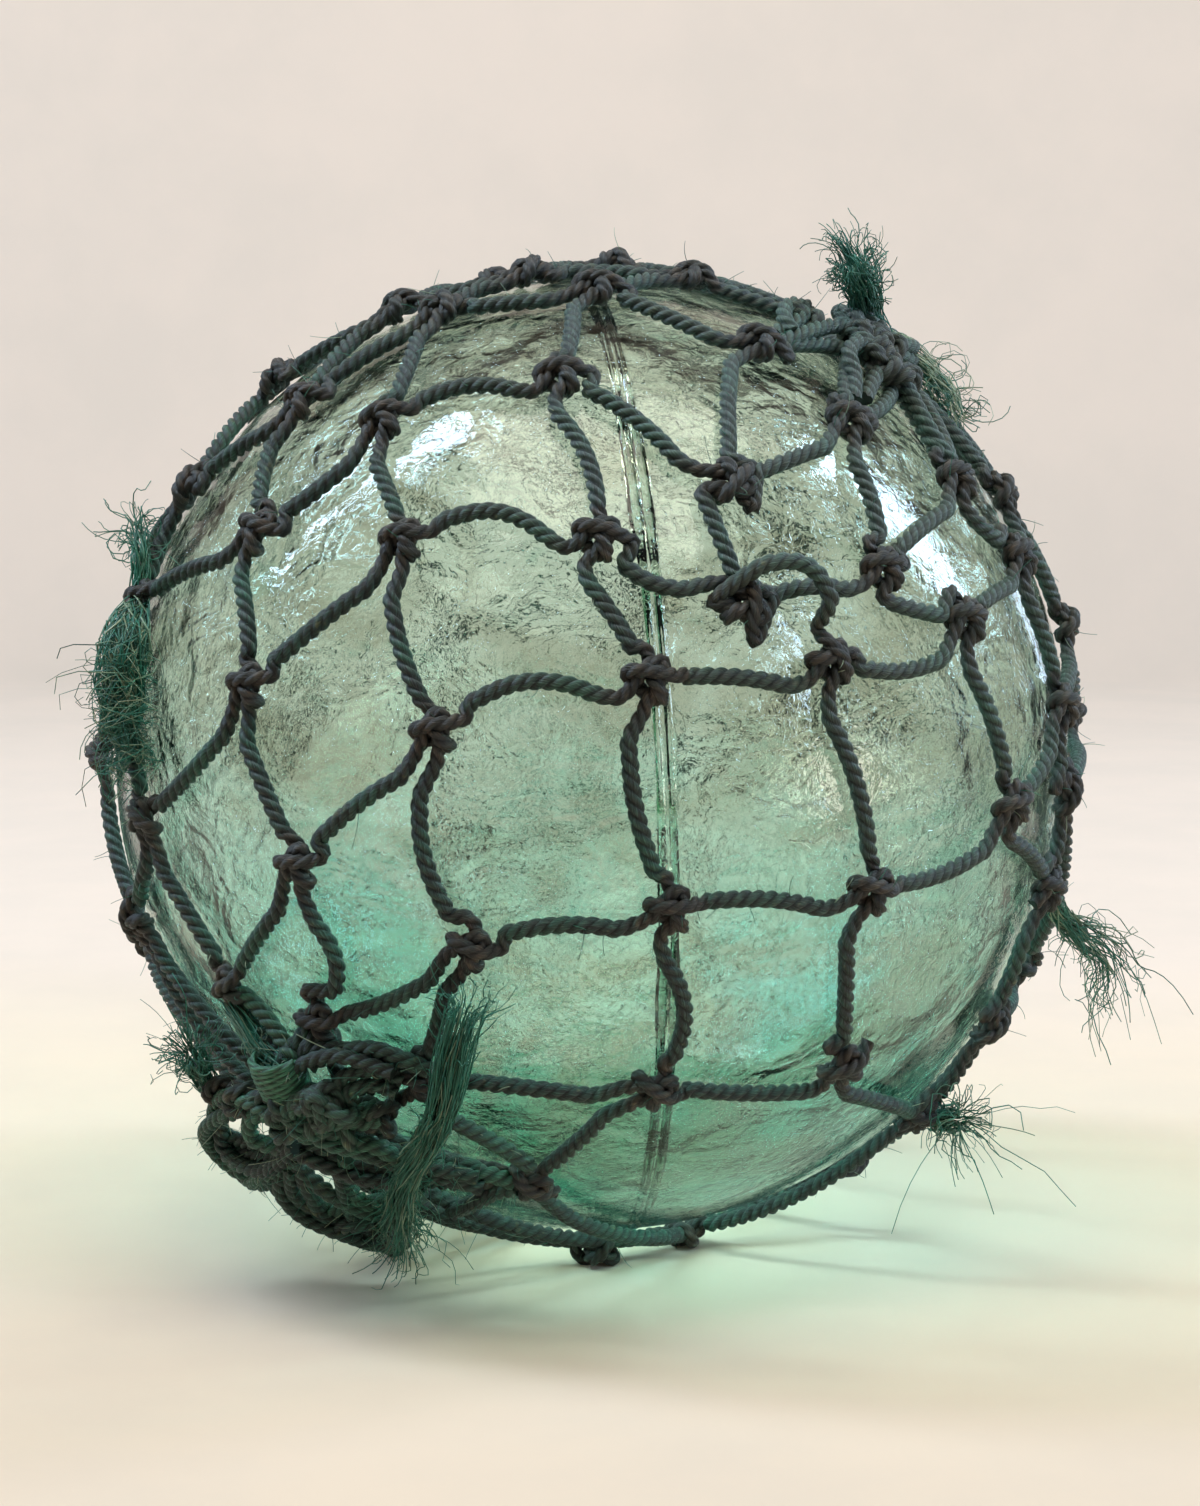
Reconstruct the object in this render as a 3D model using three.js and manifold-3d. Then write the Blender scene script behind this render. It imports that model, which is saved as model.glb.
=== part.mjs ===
// A glass fishing float in its hand-knotted net.
//
// The float is a sealed ball of glass, solid here. The net is one twine knotted round by round:
// every round runs in a zigzag between two rows of knots, and the two end rounds are feet that
// gather under a lashing, one low at the front left and one high at the right. The ball lies on
// its lowest knots, which are pressed flat.
//
// Millimetres, +Z up, -Y the front. Lengths along the ball are worked out from its centre.

import * as THREE from 'three';
import Module from 'manifold-3d';

// The ball and its twine.
const BALL_RADIUS = 150;
const BALL_DETAIL = 6;
const REST_HEIGHT = 153.8; // the ball's centre above the surface it lies on
const TWINE = 5; // diameter
const GAP = 0.3; // between pieces that touch
const TWINE_PROUD = 3.2; // the twine's centre line above the glass
const SIDES = 5; // of the twine's section

// The knots, as half sizes: along the row, up and down, and off the glass.
const KNOT_ALONG = 5.5;
const KNOT_UP = 6.5;
const KNOT_OFF = 5;
const KNOT_PROUD = 5.2; // a knot's middle above the glass
const TIP_UP = 3; // half size of a loop's tip, where it meets the knot of the next round
const TIP_CLEAR = 0.6; // between that tip and the knot
const TIP_BELOW_KNOT = KNOT_UP + TIP_UP + TIP_CLEAR;
const LINK_CLEAR = 0.02; // share of a link left between its knot and its first station

// The net's lattice, in degrees: rows of knots ring an axis between two poles, and the map that
// leans both poles to one side keeps the meshes square.
const COLUMNS = 11;
const HALF_COLUMN = 180 / COLUMNS;
const BOTTOM_POLE = [-59, -51];
const TOP_POLE = [88, 60];
const ROW_COLATITUDES = [37, 57, 76, 96, 111, 125, 136, 152];
const FIRST_COLUMN = -2;
const ROW_TWIST = 1; // each row is turned this much further than the row below
const LAST_ROW = ROW_COLATITUDES.length;
const MIDDLE_ROW = (LAST_ROW + 1) / 2;

// Knots that have slipped, by row and half column: degrees along the row and up the net.
const SLIPS = {
  1: { '-2': [8, -3], 0: [-1, 0], 2: [-11, 1], 4: [-8, -3], 6: [20, 8], 8: [16, 12], 10: [-4, -4] },
  2: { '-3': [-1, -6], '-1': [3, -1], 1: [-1, 2], 3: [1, 0], 5: [17, 17], 7: [4, 9], 9: [2, 9] },
  3: { '-2': [1, -3], 0: [-4, 4], 2: [0, 1], 4: [3, -3], 6: [-4, 11] },
  4: { '-5': [12, -5], '-3': [5, -6], '-1': [-6, 2], 1: [-2, 3], 3: [4, -4], 5: [7, 8] },
  5: { '-6': [16, -2], '-4': [8, -4], '-2': [-7, -1], 0: [-2, 0], 2: [0, 2], 4: [4, -1], 6: [-12, 4] },
  6: { '-5': [10, 0], '-3': [-10, 3], '-1': [-9, 3], 1: [2, -12], 3: [3, 3] },
  7: { '-4': [-3, 5], '-2': [-15, 9], 0: [7, -9], 2: [1, -8], 4: [6, 6] },
  8: { '-3': [-11, 8], '-1': [8, 1], 1: [4, -4], 3: [3, -3] },
};

// How far a link bows to the left, in mm, seen from outside and going up the net. The key is the
// lower knot's row and half column, and +1 or -1 for the upper knot's side.
const BOWS = {
  '0,7,1': -3, '0,9,-1': -3, '0,5,1': 2, '0,7,-1': -2,
  '1,0,-1': -11, '2,3,-1': -9, '2,1,-1': 6, '2,1,1': 5,
  '3,2,-1': 4, '3,0,1': 10, '3,2,1': 4, '4,3,-1': -3,
  '4,-1,1': 11, '4,1,1': 2, '4,3,1': -3, '5,-2,1': 8,
  '5,4,-1': -2, '5,2,-1': -15, '5,0,-1': -5, '5,0,1': -6, '5,2,1': -5, '6,1,1': 4,
};
const LOOSE_BOW = 2.5; // of the other links, which bow one way and the other
const FOOT_APART = 3; // from the middle of a foot to each of its two legs
const WIDE_BOW = 8; // a link that bows more, or is longer than the next, has more stations
const LONG_LINK = 78;
const LINK_STATIONS = 3;
const LONG_LINK_STATIONS = 5;

// Links that ride over their neighbours: how far they stand off, in mm.
const LIFTS = { '5,2,-1': 10 };

// Links that have parted, by the same key: the round is open there.
const PARTED = { 1: [4, 1], 3: [4, 1] };

// The two gathers: the middle of each, and the circle on which its feet end.
const BOTTOM_GATHER = [-44, -40];
const TOP_GATHER = [86, 56];
const GATHER_SPREAD = 8;

// Lashings and loose ends are routes of [azimuth, elevation, height above the glass].
const BOTTOM_LASHINGS = [
  [[-37, -31, 14], [-36, -27, 12], [-30, -25, 10], [-26, -26, 9.5], [-23, -27, 10]],
  [[-36, -33, 15], [-30, -30, 14], [-29, -28, 13], [-25, -28, 10], [-23, -29, 10]],
  [[-37, -32, 18], [-33, -30, 19], [-29, -32, 15], [-26, -32, 12]],
  [[-42, -36, 18], [-37, -38, 17], [-32, -41, 15], [-28, -42, 13], [-22, -42, 10], [-16, -44, 9]],
  [[-36, -32, 18], [-33, -34, 18], [-30, -36, 15], [-27, -39, 12], [-20, -41, 9.5], [-16, -42, 9]],
  [
    [-38, -32, 18], [-47, -32, 18], [-56, -36, 20], [-62, -42, 22], [-60, -46, 22], [-52, -43, 21],
    [-44, -39, 18],
  ],
  [[-61, -40, 19], [-53, -40, 18], [-45, -39, 17], [-40, -37, 18]],
  [[-44, -40, 19], [-48, -45, 22], [-48, -49, 22], [-45, -53, 20], [-52, -60, 17], [-63, -66, 17]],
  [[-43, -39, 17], [-50, -47, 18], [-47, -50, 17], [-42, -50, 14], [-35, -49, 11], [-30, -49, 9.5]],
  [[-35, -39, 16], [-41, -48, 15], [-48, -57, 15], [-63, -66, 17]],
];
const BOTTOM_ENDS = [
  { route: [[-50, -34, 17], [-55, -31, 14], [-54, -28, 16], [-52, -24, 20]], widths: [2.5, 3, 4, 2] },
  {
    route: [
      [-13, -18, 11], [-15, -23, 12], [-16, -27, 15], [-19, -33, 15], [-24, -39, 16], [-31, -48, 15],
      [-40, -57, 15],
    ],
    widths: [2, 5, 5, 4, 4, 6, 3],
  },
];
const BAND = {
  route: [[-38, -25.8, 14.5], [-38, -27, 15], [-38, -29, 15], [-38, -30.2, 14.5]],
  wide: [8, 9.5, 9.5, 8],
  tall: 6.5,
};
const TOP_TURNS = 5; // degrees from the gather's middle to the lashing round it
const TOP_LASHING_PROUD = 9.5;
const TOP_LASHING = 3.5; // half its thickness
const TOP_LASHING_STATIONS = 10;
const TOP_ENDS = [
  { route: [[84, 55, 9], [84, 58, 13], [78, 60, 20], [68, 62, 28]], widths: [3, 5, 6.5, 4] },
  { route: [[88, 56, 9], [88, 51, 9.5], [85, 46, 9], [82, 43, 7]], widths: [2.5, 4, 3, 1.5] },
];

// Frayed ends that grow out of a knot of a round, a cord tied on from knot to knot, and a knot
// in the twine of a foot.
const ROUND_ENDS = {
  0: [{ route: [[-8, -71, 4.5], [2, -73, 5.5], [14, -73.5, 4.5]], widths: [2.5, 5.5, 2.5] }],
  1: [{
    from: [1, 4], route: [[-4, -56, 4], [6, -63, 4], [18, -68, 4]], to: [1, 6],
    widths: [2.5, 2.5, 2.5, 2.5, 2.5],
  }],
  2: [{ from: [2, 5], route: [[70, -43, 10], [62, -39, 15]], widths: [3, 5.5, 3] }],
  3: [
    {
      from: [3, -4], route: [[-64, 15, 9.5], [-63, 11, 9.5], [-62, 7, 8], [-61, 4, 6]],
      widths: [3, 7, 8, 6, 3],
    },
    { from: [3, -4], route: [[-72, 25, 8], [-78, 28, 12]], widths: [2.5, 3, 1.5] },
  ],
  4: [{
    from: [4, 5], route: [[71, -16, 8], [75, -18, 15], [77, -19, 23], [77, -21, 30]],
    widths: [2.5, 3, 4, 6, 4],
  }],
};

const GLASS = new THREE.MeshStandardMaterial({ color: 0x9cc4ae, roughness: 0.1, metalness: 0 });
const CORD = new THREE.MeshStandardMaterial({ color: 0x2c3f38, roughness: 0.85, metalness: 0 });
const BANDING = new THREE.MeshStandardMaterial({ color: 0x3f6a48, roughness: 0.8, metalness: 0 });

const wasm = await Module();
wasm.setup();

// ---- Places on the ball ----

function direction(azimuth, elevation) {
  const polar = THREE.MathUtils.degToRad(90 + elevation);
  const turn = THREE.MathUtils.degToRad(azimuth);
  const flat = Math.sin(polar);
  return new THREE.Vector3(flat * Math.sin(turn), -flat * Math.cos(turn), -Math.cos(polar));
}

/** A great-circle step from one direction towards another, by a length along the glass in mm. */
function stepTowards(from, to, length) {
  const across = to.clone().addScaledVector(from, -to.dot(from)).normalize();
  const angle = length / BALL_RADIUS;
  return from.clone().multiplyScalar(Math.cos(angle)).addScaledVector(across, Math.sin(angle));
}

function station(where, proud, wide, tall = wide) {
  return { at: where.clone().setLength(BALL_RADIUS + proud), wide, tall };
}

// ---- The net's lattice ----

const bottomPole = direction(...BOTTOM_POLE);
const topPole = direction(...TOP_POLE);
const lean = bottomPole.clone().add(topPole).normalize();
const leanBy = bottomPole.dot(lean);
const netUp = topPole.clone().addScaledVector(lean, -topPole.dot(lean)).normalize();
const netSide = netUp.clone().cross(lean);

/** Moves a direction towards the lean, as the map of the sphere that keeps circles round. */
function leaned(v) {
  const along = v.dot(lean);
  const across = v.clone().addScaledVector(lean, -along).multiplyScalar(Math.sqrt(1 - leanBy ** 2));
  return across.addScaledVector(lean, along + leanBy).normalize();
}

/** The half column under which a place round the net is listed in the tables. */
function listed(half) {
  const turns = 2 * COLUMNS;
  return ((((half + COLUMNS - 1) % turns) + turns) % turns) - COLUMNS + 1;
}

function knotAt(row, half) {
  const [along, up] = SLIPS[row]?.[listed(half)] ?? [0, 0];
  const colatitude = THREE.MathUtils.degToRad(ROW_COLATITUDES[row - 1] + up);
  const turned = FIRST_COLUMN + half * HALF_COLUMN + ROW_TWIST * (row - MIDDLE_ROW) + along;
  const turn = THREE.MathUtils.degToRad(turned);
  const place = netUp.clone().multiplyScalar(-Math.cos(colatitude));
  place.addScaledVector(lean, Math.sin(colatitude) * Math.cos(turn));
  place.addScaledVector(netSide, Math.sin(colatitude) * Math.sin(turn));
  return leaned(place);
}

/** Where a foot turns back inside a gather: on the circle round its middle, nearest its knots. */
function footAt(row, half) {
  const inner = row === 0 ? 1 : LAST_ROW;
  const middle = direction(...(row === 0 ? BOTTOM_GATHER : TOP_GATHER));
  const knots = knotAt(inner, half - 1).add(knotAt(inner, half + 1)).normalize();
  return stepTowards(middle, knots, THREE.MathUtils.degToRad(GATHER_SPREAD) * BALL_RADIUS);
}

function cornerAt(row, half) {
  return row === 0 || row > LAST_ROW ? footAt(row, half) : knotAt(row, half);
}

/** The loop's tip that hangs in the knot above it. */
function tipBelow(row, half) {
  const knot = cornerAt(row, half);
  if (row > LAST_ROW) {
    return knot;
  }
  const down = cornerAt(row - 1, half - 1).add(cornerAt(row - 1, half + 1)).normalize();
  return stepTowards(knot, down, TIP_BELOW_KNOT);
}

function bowOf(row, half, side) {
  const home = listed(half);
  return BOWS[`${row},${home},${side}`] ?? LOOSE_BOW * Math.sin(3 * row + 5 * home + side);
}

/** The stations of one link between its corners, going up the net. */
function link(row, half, side) {
  const low = cornerAt(row, half);
  const high = tipBelow(row + 1, half + side);
  const span = low.angleTo(high) * BALL_RADIUS;
  const bow = bowOf(row, half, side);
  const lift = LIFTS[`${row},${half},${side}`] ?? 0;
  const apart = { 0: side, [LAST_ROW]: -side }[row] ?? 0;
  const start = row === 0 ? 0 : KNOT_ALONG / span + LINK_CLEAR;
  const long = span > LONG_LINK || Math.abs(bow) > WIDE_BOW;
  const count = long ? LONG_LINK_STATIONS : LINK_STATIONS;
  const steps = Array.from({ length: count }, (_, i) => start + ((1 - start) * i) / count);
  return (row === 0 ? steps.slice(1) : steps).map((t) => {
    const place = stepTowards(low, high, t * span);
    const left = place.clone().cross(high.clone().sub(low)).normalize();
    const arch = Math.sin(Math.PI * t);
    const aside = bow * arch + FOOT_APART * apart * Math.sqrt(arch);
    place.addScaledVector(left, aside / BALL_RADIUS).normalize();
    return station(place, TWINE_PROUD + lift * Math.sqrt(arch), TWINE / 2);
  });
}

/** One round of the net, from its row of knots up to the next row. */
function roundStations(row) {
  const [openHalf, openSide] = PARTED[row] ?? [row % 2 ? 0 : 1, 1];
  const stations = [];
  for (let column = 0; column < COLUMNS; column += 1) {
    const half = openHalf + openSide + 2 * column;
    const low = cornerAt(row, half + 1);
    const foot = station(low, TWINE_PROUD, TIP_UP, TWINE / 2);
    stations.push(station(tipBelow(row + 1, half), TWINE_PROUD, TIP_UP, TWINE / 2));
    stations.push(...link(row, half + 1, -1).reverse());
    stations.push(row === 0 ? foot : station(low, KNOT_PROUD, KNOT_UP, KNOT_OFF));
    if (!PARTED[row] || column < COLUMNS - 1) {
      stations.push(...link(row, half + 1, 1));
    }
  }
  return stations;
}

// ---- Solids ----

/** A tube through stations, five-sided, its section square to its run and to the ball. */
function tube(stations, closed, grow = 0) {
  const count = stations.length;
  const points = [];
  const faces = [];
  stations.forEach(({ at, wide, tall }, i) => {
    const before = stations[closed ? (i + count - 1) % count : Math.max(i - 1, 0)].at;
    const after = stations[closed ? (i + 1) % count : Math.min(i + 1, count - 1)].at;
    const run = after.clone().sub(before).normalize();
    const out = at.clone().addScaledVector(run, -at.dot(run)).normalize();
    const side = out.clone().cross(run);
    for (let k = 0; k < SIDES; k += 1) {
      const angle = Math.PI / 2 + (2 * Math.PI * k) / SIDES;
      const point = at.clone().addScaledVector(side, (wide + grow) * Math.cos(angle));
      points.push(point.addScaledVector(out, (tall + grow) * Math.sin(angle)));
    }
  });
  for (let i = 0; i < (closed ? count : count - 1); i += 1) {
    const next = (i + 1) % count;
    for (let k = 0; k < SIDES; k += 1) {
      const turn = (k + 1) % SIDES;
      faces.push(i * SIDES + k, i * SIDES + turn, next * SIDES + turn);
      faces.push(i * SIDES + k, next * SIDES + turn, next * SIDES + k);
    }
  }
  if (!closed) {
    const last = (count - 1) * SIDES;
    for (let k = 1; k < SIDES - 1; k += 1) {
      faces.push(0, k + 1, k, last, last + k, last + k + 1);
    }
  }
  const geometry = new THREE.BufferGeometry().setFromPoints(points);
  geometry.setIndex(faces);
  return solidOf(geometry);
}

function solidOf(geometry) {
  const vertProperties = new Float32Array(geometry.getAttribute('position').array);
  const triVerts = new Uint32Array(geometry.getIndex().array);
  return new wasm.Manifold(new wasm.Mesh({ numProp: 3, vertProperties, triVerts }));
}

/** A cord along a smooth route over the ball, from a knot or to one where those are given. */
function cord({ from, route, to, widths }, grow = 0) {
  const corners = route.map(([azimuth, elevation, proud]) => {
    return direction(azimuth, elevation).multiplyScalar(BALL_RADIUS + proud);
  });
  if (from) {
    corners.unshift(knotAt(...from).setLength(BALL_RADIUS + KNOT_PROUD));
  }
  if (to) {
    corners.push(knotAt(...to).setLength(BALL_RADIUS + KNOT_PROUD));
  }
  const curve = new THREE.CatmullRomCurve3(corners, false, 'centripetal');
  const steps = (corners.length - 1) * (widths ? 1 : 2);
  const stations = [];
  for (let i = 0; i <= steps; i += 1) {
    const wide = widths ? widths[i] : TWINE / 2;
    stations.push({ at: curve.getPoint(i / steps), wide, tall: wide });
  }
  return tube(stations, false, grow);
}

function largestBody(solid) {
  return solid.decompose().sort((a, b) => b.volume() - a.volume())[0];
}

const floorLevel = -REST_HEIGHT;

/** A solid as a mesh, cut off at the surface the float lies on. */
function piece(name, solid, material) {
  const cut = largestBody(solid.trimByPlane([0, 0, 1], floorLevel));
  const { vertProperties, triVerts } = cut.getMesh();
  const geometry = new THREE.BufferGeometry();
  geometry.setAttribute('position', new THREE.BufferAttribute(vertProperties, 3));
  geometry.setIndex(new THREE.BufferAttribute(triVerts, 1));
  const faceted = geometry.toNonIndexed();
  faceted.computeVertexNormals();
  const mesh = new THREE.Mesh(faceted, material);
  mesh.name = name;
  return mesh;
}

function roundSolid(row, grow = 0) {
  let solid = tube(roundStations(row), !PARTED[row], grow);
  for (const end of ROUND_ENDS[row] ?? []) {
    solid = solid.add(cord(end, grow));
  }
  return solid;
}

function joined(solids) {
  return solids.reduce((sum, solid) => sum.add(solid));
}

/** Cuts a piece back from its neighbours, so that it rests on them with the gap between. */
function clearOf(solid, neighbours) {
  return neighbours.reduce((rest, neighbour) => rest.subtract(neighbour), solid);
}

function ball() {
  const sphere = new THREE.IcosahedronGeometry(BALL_RADIUS, BALL_DETAIL);
  const mesh = new THREE.Mesh(sphere, GLASS);
  mesh.name = 'glass_float';
  return mesh;
}

function band(grow = 0) {
  const stations = BAND.route.map(([azimuth, elevation, proud], i) => {
    return station(direction(azimuth, elevation), proud, BAND.wide[i], BAND.tall);
  });
  return tube(stations, false, grow);
}

/** The turns of twine round the top gather, which hold its feet down. */
function topTurns() {
  const middle = direction(...TOP_GATHER);
  const east = new THREE.Vector3(0, 1, 0).cross(middle).normalize();
  const north = middle.clone().cross(east);
  const spread = THREE.MathUtils.degToRad(TOP_TURNS);
  const stations = [];
  for (let k = 0; k < TOP_LASHING_STATIONS; k += 1) {
    const turn = (2 * Math.PI * k) / TOP_LASHING_STATIONS;
    const aim = middle.clone().addScaledVector(east, Math.cos(turn) * Math.tan(spread));
    aim.addScaledVector(north, Math.sin(turn) * Math.tan(spread)).normalize();
    stations.push(station(aim, TOP_LASHING_PROUD, TOP_LASHING));
  }
  return tube(stations, true);
}

const group = new THREE.Group();
group.add(ball());
for (let row = 1; row < LAST_ROW; row += 1) {
  group.add(piece(`net_round_${row}`, roundSolid(row), CORD));
}
group.add(piece('net_bottom_feet', roundSolid(0), CORD));
group.add(piece('net_top_feet', roundSolid(LAST_ROW), CORD));

const bottomCords = [...BOTTOM_LASHINGS.map((route) => ({ route })), ...BOTTOM_ENDS];
const bottomLashing = joined(bottomCords.map((run) => cord(run)));
const besideBottom = [roundSolid(1, GAP), roundSolid(0, GAP), band(GAP)];
group.add(piece('bottom_lashing', clearOf(bottomLashing, besideBottom), CORD));
group.add(piece('whipping_band', band(), BANDING));

const topLashing = joined([topTurns(), ...TOP_ENDS.map((end) => cord(end))]);
const besideTop = [roundSolid(LAST_ROW - 1, GAP), roundSolid(LAST_ROW, GAP)];
group.add(piece('top_lashing', clearOf(topLashing, besideTop), CORD));

// The origin is under the middle of the object, on the surface that it lies on.
group.position.z = REST_HEIGHT;
group.updateMatrixWorld(true);
const extent = new THREE.Box3().setFromObject(group);
const middle = extent.getCenter(new THREE.Vector3());
group.position.x = -middle.x;
group.position.y = -middle.y;
group.updateMatrixWorld(true);

export default group;
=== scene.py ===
"""A glass fishing float in its hand-knotted net, lying on its lowest knots.

The ball is a hollow, wavy ball of thick green glass. The net is one laid twine knotted round by
round, gathered under a lashing low at the front left and another high at the right, with the
frayed ends that years of wear have left. Lengths along the ball are in millimetres from its
centre until a piece is made, and then in metres.
"""

import math
import random

import bmesh
import bpy
import numpy as np
from mathutils import Matrix, Quaternion, Vector


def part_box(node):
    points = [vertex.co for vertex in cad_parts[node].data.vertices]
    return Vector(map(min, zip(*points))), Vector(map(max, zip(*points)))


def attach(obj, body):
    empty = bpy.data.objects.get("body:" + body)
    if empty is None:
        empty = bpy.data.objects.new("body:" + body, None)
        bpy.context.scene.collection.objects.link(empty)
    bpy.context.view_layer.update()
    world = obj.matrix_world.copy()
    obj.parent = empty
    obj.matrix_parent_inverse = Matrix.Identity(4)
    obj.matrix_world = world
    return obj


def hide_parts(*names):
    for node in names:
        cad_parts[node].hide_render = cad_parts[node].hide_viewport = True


bl_info = {
    "name": "Glass Float Ball",
    "version": (1, 0, 0),
    "blender": (4, 5, 0),
    "location": "View3D > Sidebar > Float",
    "description": "Builds a glass fishing float in its knotted net over the packed solids",
    "category": "Add Mesh",
}

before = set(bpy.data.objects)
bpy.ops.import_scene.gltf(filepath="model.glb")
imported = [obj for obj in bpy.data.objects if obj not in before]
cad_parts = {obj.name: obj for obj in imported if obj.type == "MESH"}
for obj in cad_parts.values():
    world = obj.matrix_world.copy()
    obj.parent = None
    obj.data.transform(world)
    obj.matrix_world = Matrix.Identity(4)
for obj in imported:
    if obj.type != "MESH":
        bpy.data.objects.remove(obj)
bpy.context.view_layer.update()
LOW, HIGH = (np.array(corner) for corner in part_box("glass_float"))
CENTRE = (LOW + HIGH) / 2
RADIUS_MM = float((HIGH - LOW)[0]) * 500
MM = 0.001

# ---- The twine and its net, with the same values as the solids ----

TWINE_PROUD = 3.2
FLAT_TIGHT = 0.35  # the least height of the twine's skin above the glass
TIP_BELOW_KNOT = 10.1
COLUMNS = 11
HALF_COLUMN = 180 / COLUMNS
BOTTOM_POLE = (-59, -51)
TOP_POLE = (88, 60)
ROW_COLATITUDES = (37, 57, 76, 96, 111, 125, 136, 152)
LAST_ROW = len(ROW_COLATITUDES)
FIRST_COLUMN = -2
ROW_TWIST = 1

# Knots that have slipped, by row and half column: degrees along the row and up the net.
SLIPS = {
    1: {-2: (8, -3), 0: (-1, 0), 2: (-11, 1), 4: (-8, -3), 6: (20, 8), 8: (16, 12), 10: (-4, -4)},
    2: {-3: (-1, -6), -1: (3, -1), 1: (-1, 2), 3: (1, 0), 5: (17, 17), 7: (4, 9), 9: (2, 9)},
    3: {-2: (1, -3), 0: (-4, 4), 2: (0, 1), 4: (3, -3), 6: (-4, 11)},
    4: {-5: (12, -5), -3: (5, -6), -1: (-6, 2), 1: (-2, 3), 3: (4, -4), 5: (7, 8)},
    5: {-6: (16, -2), -4: (8, -4), -2: (-7, -1), 0: (-2, 0), 2: (0, 2), 4: (4, -1), 6: (-12, 4)},
    6: {-5: (10, 0), -3: (-10, 3), -1: (-9, 3), 1: (2, -12), 3: (3, 3)},
    7: {-4: (-3, 5), -2: (-15, 9), 0: (7, -9), 2: (1, -8), 4: (6, 6)},
    8: {-3: (-11, 8), -1: (8, 1), 1: (4, -4), 3: (3, -3)},
}

# How far a link bows to the left, in mm, seen from outside and going up the net, by the lower
# knot's row and half column and the side of the upper knot.
BOWS = {
    (0, 7, 1): -3, (0, 9, -1): -3, (0, 5, 1): 2, (0, 7, -1): -2,
    (1, 0, -1): -11, (2, 3, -1): -9, (2, 1, -1): 6, (2, 1, 1): 5,
    (3, 2, -1): 4, (3, 0, 1): 10, (3, 2, 1): 4, (4, 3, -1): -3,
    (4, -1, 1): 11, (4, 1, 1): 2, (4, 3, 1): -3, (5, -2, 1): 8,
    (5, 4, -1): -2, (5, 2, -1): -15, (5, 0, -1): -5, (5, 0, 1): -6, (5, 2, 1): -5, (6, 1, 1): 4,
}
LOOSE_BOW = 2.5
FOOT_APART = 3
LIFTS = {(5, 2, -1): 10}
PARTED = {1: (4, 1), 3: (4, 1)}
BOTTOM_GATHER = (-44, -40)
TOP_GATHER = (86, 56)
GATHER_SPREAD = 8

# Lashings and loose ends are routes of (azimuth, elevation, height above the glass).
BOTTOM_LASHINGS = (
    ((-37, -31, 14), (-36, -27, 12), (-30, -25, 10), (-26, -26, 9.5), (-23, -27, 10)),
    ((-36, -33, 15), (-30, -30, 14), (-29, -28, 13), (-25, -28, 10), (-23, -29, 10)),
    ((-37, -32, 18), (-33, -30, 19), (-29, -32, 15), (-26, -32, 12)),
    ((-42, -36, 18), (-37, -38, 17), (-32, -41, 15), (-28, -42, 13), (-22, -42, 10), (-16, -44, 9)),
    ((-36, -32, 18), (-33, -34, 18), (-30, -36, 15), (-27, -39, 12), (-20, -41, 9.5), (-16, -42, 9)),
    ((-38, -32, 18), (-47, -32, 18), (-56, -36, 20), (-62, -42, 22), (-60, -46, 22), (-52, -43, 21),
     (-44, -39, 18)),
    ((-61, -40, 19), (-53, -40, 18), (-45, -39, 17), (-40, -37, 18)),
    ((-44, -40, 19), (-48, -45, 22), (-48, -49, 22), (-45, -53, 20), (-52, -60, 17), (-63, -66, 17)),
    ((-43, -39, 17), (-50, -47, 18), (-47, -50, 17), (-42, -50, 14), (-35, -49, 11), (-30, -49, 9.5)),
    ((-35, -39, 16), (-41, -48, 15), (-48, -57, 15), (-63, -66, 17)),
)
# Further ropes of the lower gather, and its knots: azimuth, elevation, height above the glass and,
# for a knot, its size in mm.
GATHER_ROPES = (
    ((-47, -22, 4), (-44, -24, 6), (-40, -26, 9), (-37, -27, 12), (-37, -28, 13)),
    ((-45, -21, 4), (-41, -23, 6), (-38, -25, 9), (-36, -26, 12), (-37, -30, 14)),
    ((-35, -24, 4), (-36, -25, 8), (-37, -26, 12), (-38, -28, 14), (-39, -31, 15)),
    ((-33, -24, 4), (-34, -25, 8), (-36, -27, 12), (-36, -28, 14), (-36, -31, 16)),
    ((-38, -30, 15), (-40, -30, 17), (-43, -31, 18), (-47, -33, 18), (-50, -34, 20)),
    ((-37, -30, 15), (-40, -32, 18), (-44, -33, 20), (-46, -36, 21), (-44, -37, 20), (-40, -38, 18)),
    ((-34, -29, 15), (-31, -29, 18), (-31, -31, 19), (-34, -33, 19), (-36, -33, 20), (-37, -31, 20),
     (-34, -29, 19), (-31, -28, 21), (-32, -32, 20)),
    ((-44, -32, 12), (-49, -33, 14), (-54, -35, 16), (-57, -38, 19), (-57, -40, 22), (-52, -41, 23),
     (-46, -40, 22), (-39, -36, 20)),
    ((-34, -27, 11), (-32, -26, 9), (-28, -25, 8), (-25, -25, 7), (-22, -26, 7), (-19, -27, 7)),
    ((-34, -34, 18), (-31, -35, 17), (-28, -36, 15), (-25, -39, 13), (-21, -41, 10), (-16, -43, 7),
     (-12, -45, 6)),
    ((-18, -34, 7), (-15, -37, 5), (-12, -40, 4), (-9, -43, 4)),
    ((-51, -42, 20), (-56, -49, 20), (-52, -52, 20), (-43, -51, 20), (-40, -52, 16)),
    ((-42, -39, 18), (-44, -44, 19), (-47, -50, 20), (-46, -53, 18)),
    ((-33, -38, 16), (-38, -45, 15), (-38, -49, 14), (-35, -51, 10), (-29, -49, 8)),
    ((-43, -41, 18), (-41, -45, 18), (-39, -49, 16), (-38, -53, 12)),
    ((-28, -55, 6), (-20, -51, 5), (-15, -48, 5), (-12, -47, 5)),
)
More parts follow.
